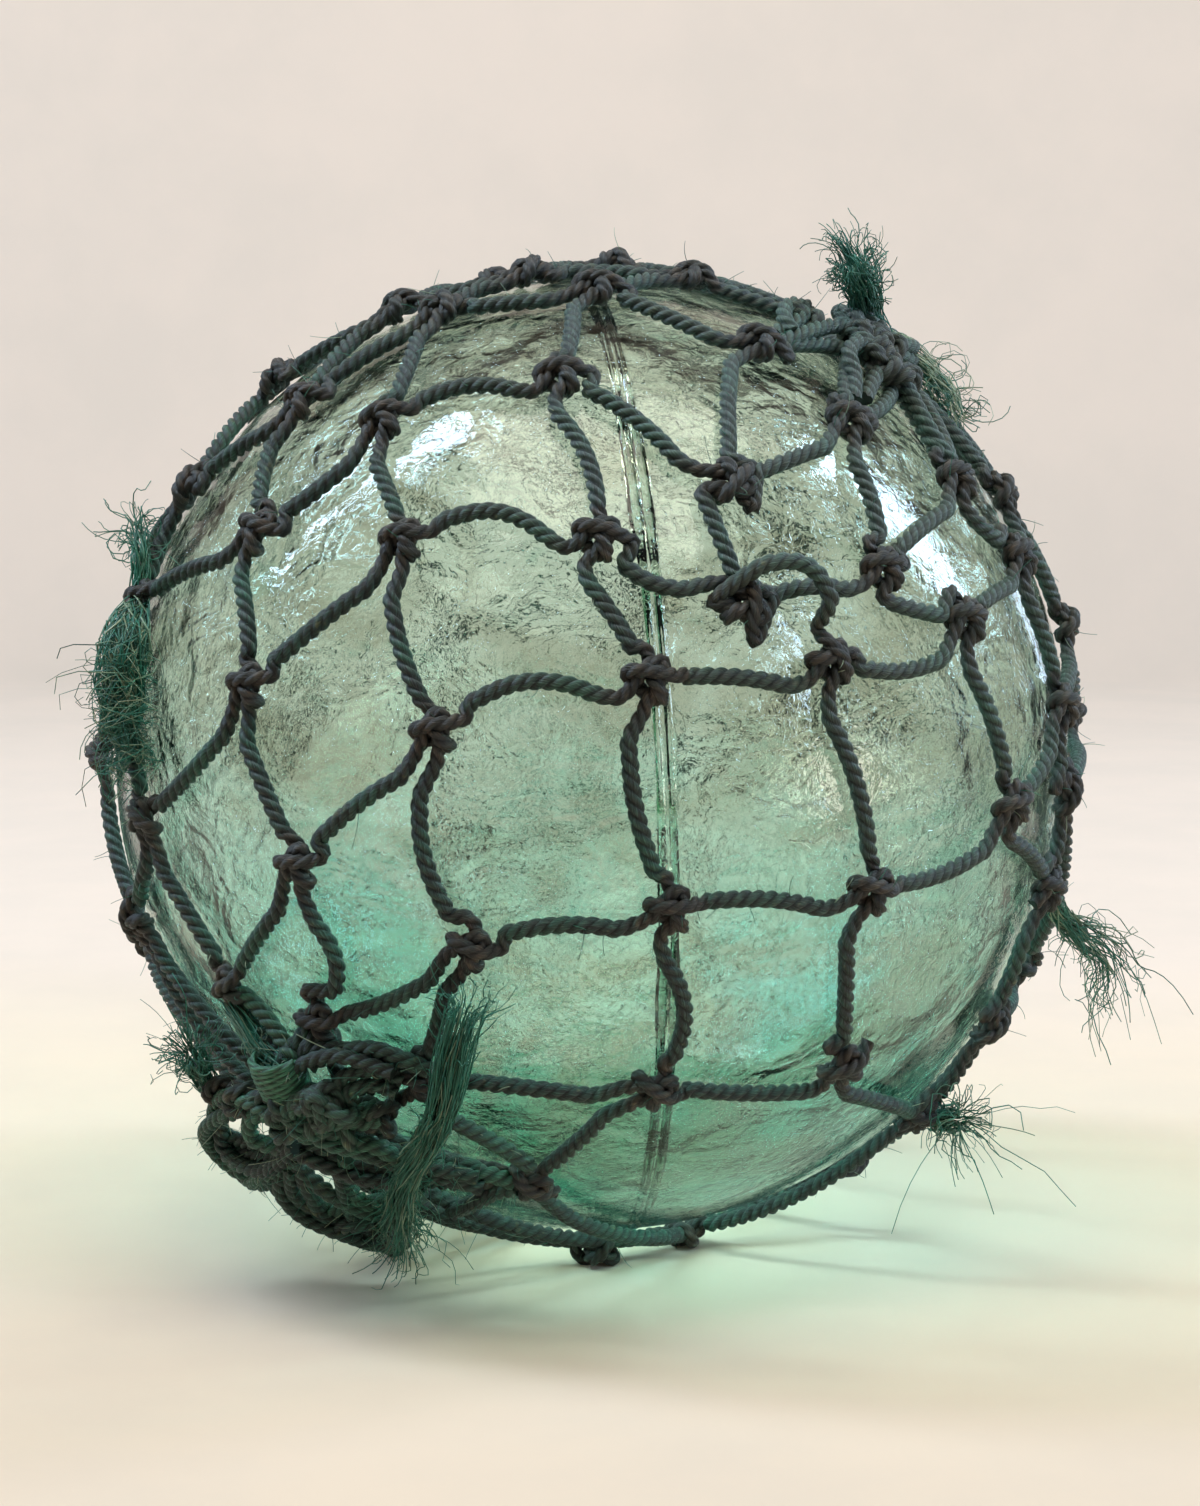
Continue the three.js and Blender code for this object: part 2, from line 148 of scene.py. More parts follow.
BOTTOM_KNOTS = (
    (-35, -31, 17, 8.5), (-31, -30, 18, 7), (-38, -33, 18, 7.5), (-31, -33, 16, 6.5),
    (-27, -33, 11, 6), (-46, -32, 17, 6.5), (-51, -33, 16, 6), (-48, -57, 14, 7), (-55, -61, 12, 6),
)
# The ropes and knots of the upper gather, in the same terms.
TOP_ROPES = (
    ((44, 60, 4), (53, 61, 6), (59, 62, 8), (60, 63, 9), (54, 63, 8.5), (49, 61, 7), (48, 59, 6)),
    ((42, 58, 4), (53, 59, 6), (66, 59, 8), (71, 57, 9), (66, 54, 9)),
    ((48, 48, 4), (52, 51, 6), (55, 54, 8.5), (61, 55, 10)),
    ((51, 48, 4), (60, 51, 6), (69, 52, 8.5), (65, 53, 10)),
    ((62, 38, 4), (62, 43, 5), (65, 48, 6.5), (66, 52, 8.5)),
    ((71, 60, 9), (66, 57, 9), (64, 55, 10), (63, 53, 9.5)),
)
TOP_KNOTS = (
    (63, 52, 8, 6), (67, 55, 9, 7), (66, 50, 7.5, 6), (71, 57, 9, 6.5), (76, 55, 9, 7), (60, 62, 6, 6),
)
BAND_ROUTE = ((-38, -25.8, 14.5), (-38, -27, 15), (-38, -29, 15), (-38, -30.2, 14.5))
TOP_TURNS = 5
TOP_LASHING_PROUD = 9.5


def direction(azimuth, elevation):
    """The unit direction from the ball's centre; azimuth 0 is the front."""
    turn, rise = math.radians(azimuth), math.radians(elevation)
    flat = math.cos(rise)
    return np.array([flat * math.sin(turn), -flat * math.cos(turn), math.sin(rise)])


def unit(v):
    return v / np.linalg.norm(v)


def step_towards(start, end, length):
    """A great-circle step from one direction towards another, by a length along the glass."""
    across = unit(end - start * end.dot(start))
    angle = length / RADIUS_MM
    return start * math.cos(angle) + across * math.sin(angle)


BOTTOM = direction(*BOTTOM_POLE)
TOP = direction(*TOP_POLE)
LEAN = unit(BOTTOM + TOP)
LEAN_BY = float(BOTTOM.dot(LEAN))
NET_UP = unit(TOP - LEAN * TOP.dot(LEAN))
NET_SIDE = np.cross(NET_UP, LEAN)


def leaned(v):
    """Moves a direction towards the lean, as the map of the sphere that keeps circles round."""
    along = v.dot(LEAN)
    across = (v - LEAN * along) * math.sqrt(1 - LEAN_BY**2)
    return unit(across + LEAN * (along + LEAN_BY))


def wrapped(half):
    return (half + COLUMNS - 1) % (2 * COLUMNS) - COLUMNS + 1


def knot_at(row, half):
    along, up = SLIPS.get(row, {}).get(wrapped(half), (0, 0))
    colatitude = math.radians(ROW_COLATITUDES[row - 1] + up)
    turn = math.radians(FIRST_COLUMN + half * HALF_COLUMN + ROW_TWIST * (row - 4.5) + along)
    place = -NET_UP * math.cos(colatitude)
    place = place + LEAN * (math.sin(colatitude) * math.cos(turn))
    place = place + NET_SIDE * (math.sin(colatitude) * math.sin(turn))
    return leaned(place)


def foot_at(row, half):
    """Where a foot turns back inside a gather."""
    inner = 1 if row == 0 else LAST_ROW
    middle = direction(*(BOTTOM_GATHER if row == 0 else TOP_GATHER))
    knots = unit(knot_at(inner, half - 1) + knot_at(inner, half + 1))
    return step_towards(middle, knots, math.radians(GATHER_SPREAD) * RADIUS_MM)


def corner_at(row, half):
    return foot_at(row, half) if row == 0 or row > LAST_ROW else knot_at(row, half)


def tip_below(row, half):
    """The place under a knot where the loop of the round below comes into it."""
    knot = corner_at(row, half)
    if row > LAST_ROW:
        return knot
    down = unit(corner_at(row - 1, half - 1) + corner_at(row - 1, half + 1))
    return step_towards(knot, down, TIP_BELOW_KNOT)


def bow_of(row, half, side):
    home = wrapped(half)
    return BOWS.get((row, home, side), LOOSE_BOW * math.sin(3 * row + 5 * home + side))


def link_points(row, half, side, start_mm, end_mm):
    """Points of one link between its corners, going up the net, clear of both by the lengths."""
    low = corner_at(row, half)
    high = tip_below(row + 1, half + side)
    span = math.acos(np.clip(low.dot(high), -1, 1)) * RADIUS_MM
    bow = bow_of(row, half, side)
    lift = LIFTS.get((row, half, side), 0)
    apart = {0: side, LAST_ROW: -side}.get(row, 0)
    points = []
    for t in np.linspace(start_mm / span, 1 - end_mm / span, 8):
        place = step_towards(low, high, t * span)
        left = unit(np.cross(place, high - low))
        arch = max(math.sin(math.pi * t), 0.0)
        aside = bow * arch + FOOT_APART * apart * math.sqrt(arch)
        place = unit(place + left * (aside / RADIUS_MM))
        points.append(place * (RADIUS_MM + TWINE_PROUD + lift * math.sqrt(arch)))
    return points


# ---- Knots: how the two twines of a sheet bend run, in mm right, up and off the glass ----

LOOP_IN_KNOT = (
    (-3.4, -8.2, 3.2), (-2.7, -4.4, 4.4), (-2.5, -0.5, 4.9), (-1.9, 3.2, 4.9),
    (0.0, 5.0, 4.6), (1.9, 3.2, 4.9), (2.5, -0.5, 4.9), (2.7, -4.4, 4.4), (3.4, -8.2, 3.2),
)
TURNS_IN_KNOT = (
    (-6.4, 5.6, 3.2), (-2.6, 3.9, 2.4), (-0.6, 1.6, 3.6), (0.9, -0.4, 6.2), (3.7, -2.1, 6.6),
    (5.6, -2.9, 4.4), (3.6, -3.4, 2.4), (0.0, -3.6, 2.2), (-3.6, -3.4, 2.4), (-5.6, -2.5, 4.4),
    (-4.0, -1.1, 6.8), (-0.6, 0.9, 7.6), (2.8, 2.6, 6.9), (5.0, 4.2, 4.6), (6.8, 6.0, 3.3),
)
KNOT_SHRINK = 0.86  # twine drawn tight in a knot is thinner


def knot_axes(row, half):
    """Right, up and out at a knot, as unit vectors."""
    out = corner_at(row, half)
    tip = tip_below(row, half)
    up = unit(out - tip - out * out.dot(out - tip))
    return np.cross(up, out), up, out


def knot_path(row, half, turns):
    """One of the two twines of a knot, in the net's own size, each knot a little different."""
    right, up, out = knot_axes(row, half)
    own = random.Random(row * 100 + wrapped(half))
    tilt = math.radians(own.uniform(-16, 16))
    mirrored = own.random() < 0.3
    size = own.uniform(0.93, 1.08)
    path = TURNS_IN_KNOT if turns else LOOP_IN_KNOT
    if mirrored and turns:
        path = [(-x, y, z) for x, y, z in reversed(path)]
    points = []
    for x, y, z in path:
        near = 1 - min(math.hypot(x, y) / 9, 1)
        turned = tilt * near
        a = (x * math.cos(turned) - y * math.sin(turned)) * size
        b = (x * math.sin(turned) + y * math.cos(turned)) * size
        jog = 0.35 * near
        a += own.uniform(-jog, jog)
        b += own.uniform(-jog, jog)
        base = unit(out * RADIUS_MM + right * a + up * b)
        points.append(base * (RADIUS_MM + z))
    return points


def round_path(row):
    """The run of one round of twine: its points, and how much of each is in a knot."""
    open_half, open_side = PARTED.get(row, (0 if row % 2 else 1, 1))
    points, knotted = [], []

    def add(more, share):
        points.extend(more)
        knotted.extend([share] * len(more))

    for column in range(COLUMNS):
        half = open_half + open_side + 2 * column
        if row < LAST_ROW:
            add(knot_path(row + 1, half, False), 1)
        else:
            add([tip_below(row + 1, half) * (RADIUS_MM + TWINE_PROUD)], 0)
        end = 8 if row < LAST_ROW else 5
        start = 9.5 if row else 5
        add(link_points(row, half + 1, -1, start, end)[::-1], 0)
        if row:
            add(knot_path(row, half + 1, True), 1)
        else:
            add([corner_at(row, half + 1) * (RADIUS_MM + TWINE_PROUD)], 0)
        if row not in PARTED or column < COLUMNS - 1:
            add(link_points(row, half + 1, 1, start, end), 0)
    return points, knotted


def route_points(route):
    return [direction(a, e) * (RADIUS_MM + p) for a, e, p in route]


# ---- Smooth runs ----

def smooth_run(points, closed, values=None, per=10):
    """A centripetal curve through points, as dense points, with values carried along."""
    pts = np.array(points, float)
    vals = np.zeros(len(pts)) if values is None else np.array(values, float)
    count = len(pts)
    if closed:
        around = [(i - 1) % count for i in range(count + 3)]
        pts, vals = pts[around], vals[around]
    else:
        pts = np.vstack([2 * pts[0] - pts[1], pts, 2 * pts[-1] - pts[-2]])
        vals = np.concatenate([vals[:1], vals, vals[-1:]])
    gaps = np.sqrt(np.maximum(np.linalg.norm(np.diff(pts, axis=0), axis=1), 1e-6))
    knots = np.concatenate([[0], np.cumsum(gaps)])
    run, carried = [], []
    for i in range(1, len(pts) - 2):
        t0, t1, t2, t3 = knots[i - 1: i + 3]
        t = np.linspace(t1, t2, per, endpoint=False)[:, None]
        p0, p1, p2, p3 = pts[i - 1: i + 3]
        a1 = (t1 - t) / (t1 - t0) * p0 + (t - t0) / (t1 - t0) * p1
        a2 = (t2 - t) / (t2 - t1) * p1 + (t - t1) / (t2 - t1) * p2
        a3 = (t3 - t) / (t3 - t2) * p2 + (t - t2) / (t3 - t2) * p3
        b1 = (t2 - t) / (t2 - t0) * a1 + (t - t0) / (t2 - t0) * a2
        b2 = (t3 - t) / (t3 - t1) * a2 + (t - t1) / (t3 - t1) * a3
        run.append((t2 - t) / (t2 - t1) * b1 + (t - t1) / (t2 - t1) * b2)
        share = np.linspace(0, 1, per, endpoint=False)
        carried.append(vals[i] * (1 - share) + vals[i + 1] * share)
    run, carried = np.vstack(run), np.concatenate(carried)
    end = (pts[1], vals[1]) if closed else (pts[-2], vals[-2])
    return np.vstack([run, end[0]]), np.append(carried, end[1])


def even_run(points, spacing, closed, values=None):
    """Points at even steps along a smooth curve, the values there, and the length."""
    run, carried = smooth_run(points, closed, values)
    length = np.concatenate([[0], np.cumsum(np.linalg.norm(np.diff(run, axis=0), axis=1))])
    count = max(int(round(length[-1] / spacing)), 3)
    at = np.linspace(0, length[-1], count + 1)
    even = np.stack([np.interp(at, length, run[:, k]) for k in range(3)], axis=1)
    carried = np.interp(at, length, carried)
    if closed:
        even, carried, at = even[:-1], carried[:-1], at[:-1]
    return even, carried, at, length[-1]


def carried_frames(run, closed):
    """Tangents and a pair of normals carried along a run without turning round it."""
    if closed:
        tangents = np.roll(run, -1, axis=0) - np.roll(run, 1, axis=0)
    else:
        tangents = np.gradient(run, axis=0)
    tangents /= np.linalg.norm(tangents, axis=1)[:, None]
    first = run[0] - tangents[0] * run[0].dot(tangents[0])
    normals = [unit(first)]
    for tangent in tangents[1:]:
        normals.append(unit(normals[-1] - tangent * normals[-1].dot(tangent)))
    normals = np.array(normals)
    return tangents, normals, np.cross(tangents, normals)


class Shape:
    """Vertices, faces, UVs and vertex values of a piece while it is put together."""

    def __init__(self):
        self.verts, self.faces, self.uvs, self.slots = [], [], [], []
        self.values = {"groove": [], "knot": [], "bleach": [], "tone": []}
        self.count = 0

    def add(self, verts, faces, uvs, slot, **values):
        self.faces.append(faces + self.count)
        self.verts.append(verts)
        self.uvs.append(uvs)
        self.slots.append(np.full(len(faces), slot))
        for name, kept in self.values.items():
            value = np.asarray(values.get(name, 0.0), float)
            kept.append(np.broadcast_to(value, (len(verts),)))
        self.count += len(verts)


LOBE_POINTS = 5


def lobed_section(strands):
    """The angles, radii and grooves of a laid twine's section, from groove to groove; the groove value is
    the mask of the painted shade between strands.
    """
    angles, radii, grooves = [], [], []
    lobe = 2 * math.pi / strands
    for strand in range(strands):
        for k in range(LOBE_POINTS):
            place = k / LOBE_POINTS
            off = abs(place - 0.5) * 2
            angles.append((strand + place) * lobe)
            radii.append(1.03 - 0.42 * off**2.4)
            grooves.append(off**2)
    return np.array(angles), np.array(radii), np.array(grooves)


def bleaching(points):
    """How far sun and salt have greyed the twine: most at the upper right."""
    out = points / np.linalg.norm(points, axis=1)[:, None]
    return np.clip(out @ unit(np.array([0.62, -0.30, 0.72])) * 1.5 - 0.45, 0, 1)


def lay_twine(shape, points, diameter, closed=False, knotted=None, strands=3, lay=11.5,
              spacing=1.2, bright=0.0, widths=None, slot=0):
    """Sweeps laid twine along a run of points and adds it to a piece's shape."""
    run, knot, at, length = even_run(points, spacing, closed, knotted)
    tangents, normals, sides = carried_frames(run, closed)
    angles, radii, grooves = lobed_section(strands)
    rings, sections = len(run), len(angles)
    turn = -2 * math.pi * at / lay
    if closed:
        last = unit(normals[-1] - tangents[0] * normals[-1].dot(tangents[0]))
        slip = math.atan2(np.cross(normals[0], last).dot(tangents[0]), normals[0].dot(last))
        total = -2 * math.pi * length / lay + slip
        off = round(total / (2 * math.pi)) * 2 * math.pi - total
        turn = turn + off * at / length
    if widths is None:
        radius = np.full(rings, diameter / 2)
    else:
        share = np.linspace(0, 1, len(widths))
        radius = np.interp(at / length, share, widths)
    radius = radius * (1 - (1 - KNOT_SHRINK) * np.clip(knot, 0, 1))
    spin = turn[:, None] + angles[None, :]
    reach = radius[:, None] * radii[None, :]
    verts = run[:, None, :] + reach[..., None] * (
        np.cos(spin)[..., None] * normals[:, None, :] + np.sin(spin)[..., None] * sides[:, None, :]
    )
    steps = rings if closed else rings - 1
    i, k = np.meshgrid(np.arange(steps), np.arange(sections), indexing="ij")
    nxt, turned = (i + 1) % rings, (k + 1) % sections
    faces = np.stack(
        [i * sections + k, i * sections + turned, nxt * sections + turned, nxt * sections + k], -1
    ).reshape(-1, 4)
    step = np.concatenate([at, [length]])
    spin_on = np.concatenate([turn, [turn[-1] - 2 * math.pi * (length - at[-1]) / lay]])
    girth = diameter * math.pi

    def corner(ring, place):
        fraction = np.append(angles, 2 * math.pi)[place]
        across = (spin_on[ring] + fraction) / (2 * math.pi) * girth
        return np.stack([across * MM, step[ring] * MM], -1)

    uvs = np.stack([corner(i, k), corner(i, k + 1), corner(i + 1, k + 1), corner(i + 1, k)], 2)
    flat = verts.reshape(-1, 3)
    shape.add(
        flat, faces, uvs.reshape(-1, 4, 2), slot,
        groove=np.tile(grooves, rings), knot=np.repeat(knot, sections),
        bleach=bleaching(flat), tone=bright,
    )
    if not closed:
        close_ends(shape, flat, rings, sections, run, slot, bright)


def close_ends(shape, flat, rings, sections, run, slot, bright):
    """Closes the two cut ends of an open run of twine."""
    for ring, middle, order in ((0, run[0], -1), (rings - 1, run[-1], 1)):
        rim = flat[ring * sections: (ring + 1) * sections]
        verts = np.vstack([rim, middle])
        k = np.arange(sections)
        around = (k + 1) % sections
        pairs = (k, around) if order == 1 else (around, k)
        faces = np.stack([pairs[0], pairs[1], np.full(sections, sections), np.full(sections, sections)], -1)
        uvs = np.zeros((sections, 4, 2))
        shape.add(verts, faces, uvs, slot, groove=0.5, bleach=bleaching(verts), tone=bright)


def add_fibre(shape, path, width, tone, slot=1):
    """One loose fibre, three-sided, thinner at its end."""
    run = np.array(path)
    tangents, normals, sides = carried_frames(run, False)
    count = len(run)
    radius = width / 2 * np.linspace(1, 0.55, count)
    angles = np.arange(3) * 2 * math.pi / 3
    ring = np.cos(angles)[None, :, None] * normals[:, None, :]
    ring = ring + np.sin(angles)[None, :, None] * sides[:, None, :]
    verts = (run[:, None, :] + radius[:, None, None] * ring).reshape(-1, 3)
    i, k = np.meshgrid(np.arange(count - 1), np.arange(3), indexing="ij")
    turned = (k + 1) % 3
    faces = np.stack([i * 3 + k, i * 3 + turned, (i + 1) * 3 + turned, (i + 1) * 3 + k], -1)
    faces = faces.reshape(-1, 4)
    last = (count - 1) * 3
    caps = np.array([[0, 2, 1, 1], [last, last + 1, last + 2, last + 2]])
    faces = np.vstack([faces, caps])
    uvs = np.zeros((len(faces), 4, 2))
    shape.add(verts, faces, uvs, slot, tone=tone)


FIBRE_STEPS = 14
FREE_FROM = 0.6  # the share of a fibre that stays along its route


def add_tuft(shape, route, widths, count, seed, stray=1.0, curl=1.0, tone=(0.2, 0.9),
             width=0.55, beyond=12.0, droop=0.3, wrap=0.0, loose=0.25):
    """A frayed end: fibres that leave a route at different places, spread, curl and droop."""
    own = random.Random(seed)
    centre, _, at, length = even_run(route, 1.5, False)
    tangents, normals, sides = carried_frames(centre, False)
    spread = np.interp(at / length, np.linspace(0, 1, len(widths)), widths)
    for _ in range(count):
        free = own.random() < loose
        start = own.uniform(0, 0.75) if free else own.uniform(0, 0.4)
        end = min(start + own.uniform(0.3, 0.9), 1.0)
        angle, rank = own.uniform(0, 2 * math.pi), math.sqrt(own.uniform(0.02, 1.0))
        turns = wrap * own.uniform(-1.6, 1.6) * 2 * math.pi
        reach = own.uniform(0.1, 1.0) * beyond * (1.3 if free else 0.8)
        flare = own.uniform(0.3, 1.5) * stray * (2.2 if free else 1.0)
        hook = own.uniform(0.6, 2.6) * curl
        hooks = own.uniform(0.3, 1.3) * (1 if own.random() < 0.5 else -1)
        waves = [(own.uniform(12, 40), own.uniform(0, 6.3), own.uniform(0.3, 1.0) * curl) for _ in range(2)]
        path = []
        for i in range(FIBRE_STEPS + 1):
            t = i / FIBRE_STEPS
            along = start + (end - start) * min(t / FREE_FROM, 1.0)
            index = min(int(along * (len(centre) - 1)), len(centre) - 1)
            turned = angle + turns * t
            out = normals[index] * math.cos(turned) + sides[index] * math.sin(turned)
            across = np.cross(tangents[index], out)
            tip = max(t - FREE_FROM, 0) / 0.4
            s = along * length + tip * reach
            sway = [amount * math.sin(s / wave * 6.28 + phase) for wave, phase, amount in waves]
            off = spread[index] * rank + sway[0] + flare * tip * reach * 0.35
            place = centre[index] + out * off + across * (sway[1] + flare * tip**2 * 2)
            place = place + tangents[index] * (tip * reach * 0.8)
            bent = hooks * tip * 2 * math.pi
            place = place + out * hook * (1 - math.cos(bent)) + tangents[index] * hook * math.sin(bent)
            place = place + np.array([0, 0, -droop * reach * tip**2])
            path.append(place)
        add_fibre(shape, path, width * own.uniform(0.6, 1.2), own.uniform(*tone))


def add_fuzz(shape, run, count, seed, reach=(2.5, 8.0), tone=(0.0, 1.0), width=0.28):
    """Short loose hairs along a run of twine."""
    own = random.Random(seed)
    tangents, normals, sides = carried_frames(run, False)
    for _ in range(count):
        index = own.randrange(len(run))
        angle = own.uniform(0, 2 * math.pi)
        out = normals[index] * math.cos(angle) + sides[index] * math.sin(angle)
        if out.dot(unit(run[index])) < -0.2:
            out = out - 2 * unit(run[index]) * out.dot(unit(run[index]))
        lean = tangents[index] * own.uniform(-1.2, 1.2)
        long = own.uniform(*reach)
        bend = np.array([own.uniform(-1, 1), own.uniform(-1, 1), own.uniform(-1, 0.6)])
        path = []
        for i in range(6):
            t = i / 5
            place = run[index] + out * (1.6 + long * t) + lean * long * t * 0.7
            path.append(place + bend * long * 0.45 * t * t)
        add_fibre(shape, path, width, own.uniform(*tone))


LUMP_STEPS = 18
LUMP_TWINE = 4.8  # diameter


def knot_lump(shape, where, size, seed, tone=0.0, dark=0.6):
    """A small overhand knot pulled tight: a trefoil of twine at a place on the ball."""
    own = random.Random(seed)
    out = direction(where[0], where[1])
    right = unit(np.cross(np.array([0, 0, 1.0]), out))
    up = np.cross(out, right)
    turn = own.uniform(0, math.pi)
    points = []
    for i in range(LUMP_STEPS):
        t = 2 * math.pi * i / LUMP_STEPS
        a = math.sin(t) + 2 * math.sin(2 * t)
        b = math.cos(t) - 2 * math.cos(2 * t)
        c = -math.sin(3 * t)
        x = (a * math.cos(turn) - b * math.sin(turn)) * size * 0.36
        y = (a * math.sin(turn) + b * math.cos(turn)) * size * 0.30
        points.append(out * (RADIUS_MM + where[2] + c * size * 0.5) + right * x + up * y)
    lay_twine(shape, points, LUMP_TWINE, closed=True, knotted=[dark] * len(points), bright=tone)


PAIR_APART = 2.1  # from the middle of a pair to each of its twines


def lay_pair(shape, route, twine, lay, seed, tone=0.0):
    """Two twines laid along the same route, turning slowly round each other."""
    own = random.Random(seed)
    centre, _, at, length = even_run(route, 6.0, False)
    _, normals, sides = carried_frames(centre, False)
    start, turning = own.uniform(0, math.pi), own.uniform(-0.02, 0.02) * math.pi
    for half in (0, math.pi):
        angle = (start + half + turning * at)[:, None]
        swing = PAIR_APART + 0.5 * np.sin(at / 9 + half)[:, None]
        points = centre + swing * (normals * np.cos(angle) + sides * np.sin(angle))
        lay_twine(shape, points, twine * 0.92, lay=lay, bright=tone)


FLOOR_CLEAR = 0.05


def keep_clear(points):
    """Holds twine out of the glass and above the surface that the float lies on."""
    distance = np.linalg.norm(points, axis=1)
    short = distance < RADIUS_MM + FLAT_TIGHT
    points[short] *= ((RADIUS_MM + FLAT_TIGHT) / distance[short])[:, None]
    floor = -CENTRE[2] / MM + FLOOR_CLEAR
    points[:, 2] = np.maximum(points[:, 2], floor)
    return points


def finish_piece(name, shape, materials, node):
    """Makes the mesh of a piece at its place, and hands it to the frame."""
    verts = keep_clear(np.vstack(shape.verts)) * MM + CENTRE
    quads = np.vstack(shape.faces)
    uvs = np.concatenate(shape.uvs)
    slots = np.concatenate(shape.slots)
    mesh = bpy.data.meshes.new(name)
    triangle = quads[:, 2] == quads[:, 3]
    sizes = np.where(triangle, 3, 4)
    starts = np.concatenate([[0], np.cumsum(sizes)[:-1]])
    keep = np.ones((len(quads), 4), bool)
    keep[triangle, 3] = False
    mesh.vertices.add(len(verts))
    mesh.vertices.foreach_set("co", verts.astype(np.float32).ravel())
    mesh.loops.add(int(sizes.sum()))
    mesh.loops.foreach_set("vertex_index", quads[keep].astype(np.int32))
    mesh.polygons.add(len(quads))
    mesh.polygons.foreach_set("loop_start", starts.astype(np.int32))
    mesh.polygons.foreach_set("material_index", slots.astype(np.int32))
    mesh.update(calc_edges=True)
    layer = mesh.uv_layers.new(name="lay")
    layer.data.foreach_set("uv", uvs[keep].astype(np.float32).ravel())
    for value, parts in shape.values.items():
        attribute = mesh.attributes.new(value, "FLOAT", "POINT")
        attribute.data.foreach_set("value", np.concatenate(parts).astype(np.float32))
    mesh.shade_smooth()
    for material in materials:
        mesh.materials.append(material)
    piece = bpy.data.objects.new(name, mesh)
    bpy.context.scene.collection.objects.link(piece)
    hand_over(piece, node)
    return piece


def hand_over(piece, node):
    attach(piece, "root")
    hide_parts(node)


# ---- Node helpers ----

def new_material(name):
    material = bpy.data.materials.new(name)
    material.use_nodes = True
    nodes = material.node_tree.nodes
    nodes.clear()
    return material, nodes, material.node_tree.links


def math_node(nodes, links, kind, first, second=None, clamp=False, third=None):
    node = nodes.new("ShaderNodeMath")
    node.operation = kind
    node.use_clamp = clamp
    for socket, value in zip(node.inputs, (first, second, third)):
        if value is None:
            continue
        if isinstance(value, (int, float)):
            socket.default_value = value
        else:
            links.new(value, socket)
    return node.outputs[0]


def mix_colour(nodes, links, share, first, second, kind="MIX"):
    node = nodes.new("ShaderNodeMix")
    node.data_type = "RGBA"
    node.blend_type = kind
    for socket, value in ((node.inputs[0], share), (node.inputs[6], first), (node.inputs[7], second)):
        if isinstance(value, (int, float)):
            socket.default_value = value
        elif isinstance(value, tuple):
            socket.default_value = (*value, 1)
        else:
            links.new(value, socket)
    return node.outputs[2]


def ramp(nodes, links, value, low, high, first=0.0, last=1.0):
    node = nodes.new("ShaderNodeMapRange")
    node.interpolation_type = "SMOOTHSTEP"
    links.new(value, node.inputs[0])
    for index, number in zip((1, 2, 3, 4), (low, high, first, last)):
        node.inputs[index].default_value = number
    return node.outputs[0]


def noise(nodes, links, vector, scale, detail=2.0, rough=0.5, distortion=0.0, kind="Fac"):
    node = nodes.new("ShaderNodeTexNoise")
    links.new(vector, node.inputs["Vector"])
    node.inputs["Scale"].default_value = scale
    node.inputs["Detail"].default_value = detail
    node.inputs["Roughness"].default_value = rough
    node.inputs["Distortion"].default_value = distortion
    return node.outputs["Fac" if kind == "Fac" else "Color"]


def mapped(nodes, links, vector, scale=(1, 1, 1), place=(0, 0, 0)):
    node = nodes.new("ShaderNodeMapping")
    links.new(vector, node.inputs["Vector"])
    node.inputs["Scale"].default_value = scale
    node.inputs["Location"].default_value = place
    return node.outputs[0]


def attribute(nodes, name):
    node = nodes.new("ShaderNodeAttribute")
    node.attribute_name = name
    return node.outputs["Fac"]


def squiggle_group():
    """Short curled scratches: broken lines where a noise passes one level."""
    group = bpy.data.node_groups.get("squiggles")
    if group:
        return group
    group = bpy.data.node_groups.new("squiggles", "ShaderNodeTree")
    face = group.interface
    face.new_socket(name="Vector", in_out="INPUT", socket_type="NodeSocketVector")
    for name, value in (("Scale", 300.0), ("Width", 0.02), ("Cover", 0.5)):
        socket = face.new_socket(name=name, in_out="INPUT", socket_type="NodeSocketFloat")
        socket.default_value = value
    face.new_socket(name="Mask", in_out="OUTPUT", socket_type="NodeSocketFloat")
    nodes, links = group.nodes, group.links
    source = nodes.new("NodeGroupInput")
    end = nodes.new("NodeGroupOutput")
    lines = nodes.new("ShaderNodeTexNoise")
    lines.inputs["Detail"].default_value = 1.5
    lines.inputs["Distortion"].default_value = 0.9
    links.new(source.outputs["Vector"], lines.inputs["Vector"])
    links.new(source.outputs["Scale"], lines.inputs["Scale"])
    signed = math_node(nodes, links, "SUBTRACT", lines.outputs["Fac"], 0.5)
    off = math_node(nodes, links, "ABSOLUTE", signed)
    near = math_node(nodes, links, "DIVIDE", off, source.outputs["Width"])
    line = math_node(nodes, links, "SUBTRACT", 1.0, near, clamp=True)
    broken = nodes.new("ShaderNodeTexNoise")
    broken.inputs["Detail"].default_value = 1.0
    half = math_node(nodes, links, "MULTIPLY", source.outputs["Scale"], 0.55)
    links.new(source.outputs["Vector"], broken.inputs["Vector"])
    links.new(half, broken.inputs["Scale"])
    edge = math_node(nodes, links, "SUBTRACT", broken.outputs["Fac"], source.outputs["Cover"])
    gate = math_node(nodes, links, "MULTIPLY", edge, 14.0, clamp=True)
    links.new(math_node(nodes, links, "MULTIPLY", line, gate), end.inputs["Mask"])
    return group


def squiggles(nodes, links, vector, scale, width, cover):
    node = nodes.new("ShaderNodeGroup")
    node.node_tree = squiggle_group()
    links.new(vector, node.inputs["Vector"])
    for name, value in (("Scale", scale), ("Width", width), ("Cover", cover)):
        node.inputs[name].default_value = value
    return node.outputs["Mask"]


def principled(nodes, links, material_end="Surface"):
    shader = nodes.new("ShaderNodeBsdfPrincipled")
    end = nodes.new("ShaderNodeOutputMaterial")
    links.new(shader.outputs[0], end.inputs[material_end])
    return shader, end


SEAM_NORMAL = direction(98, 2)


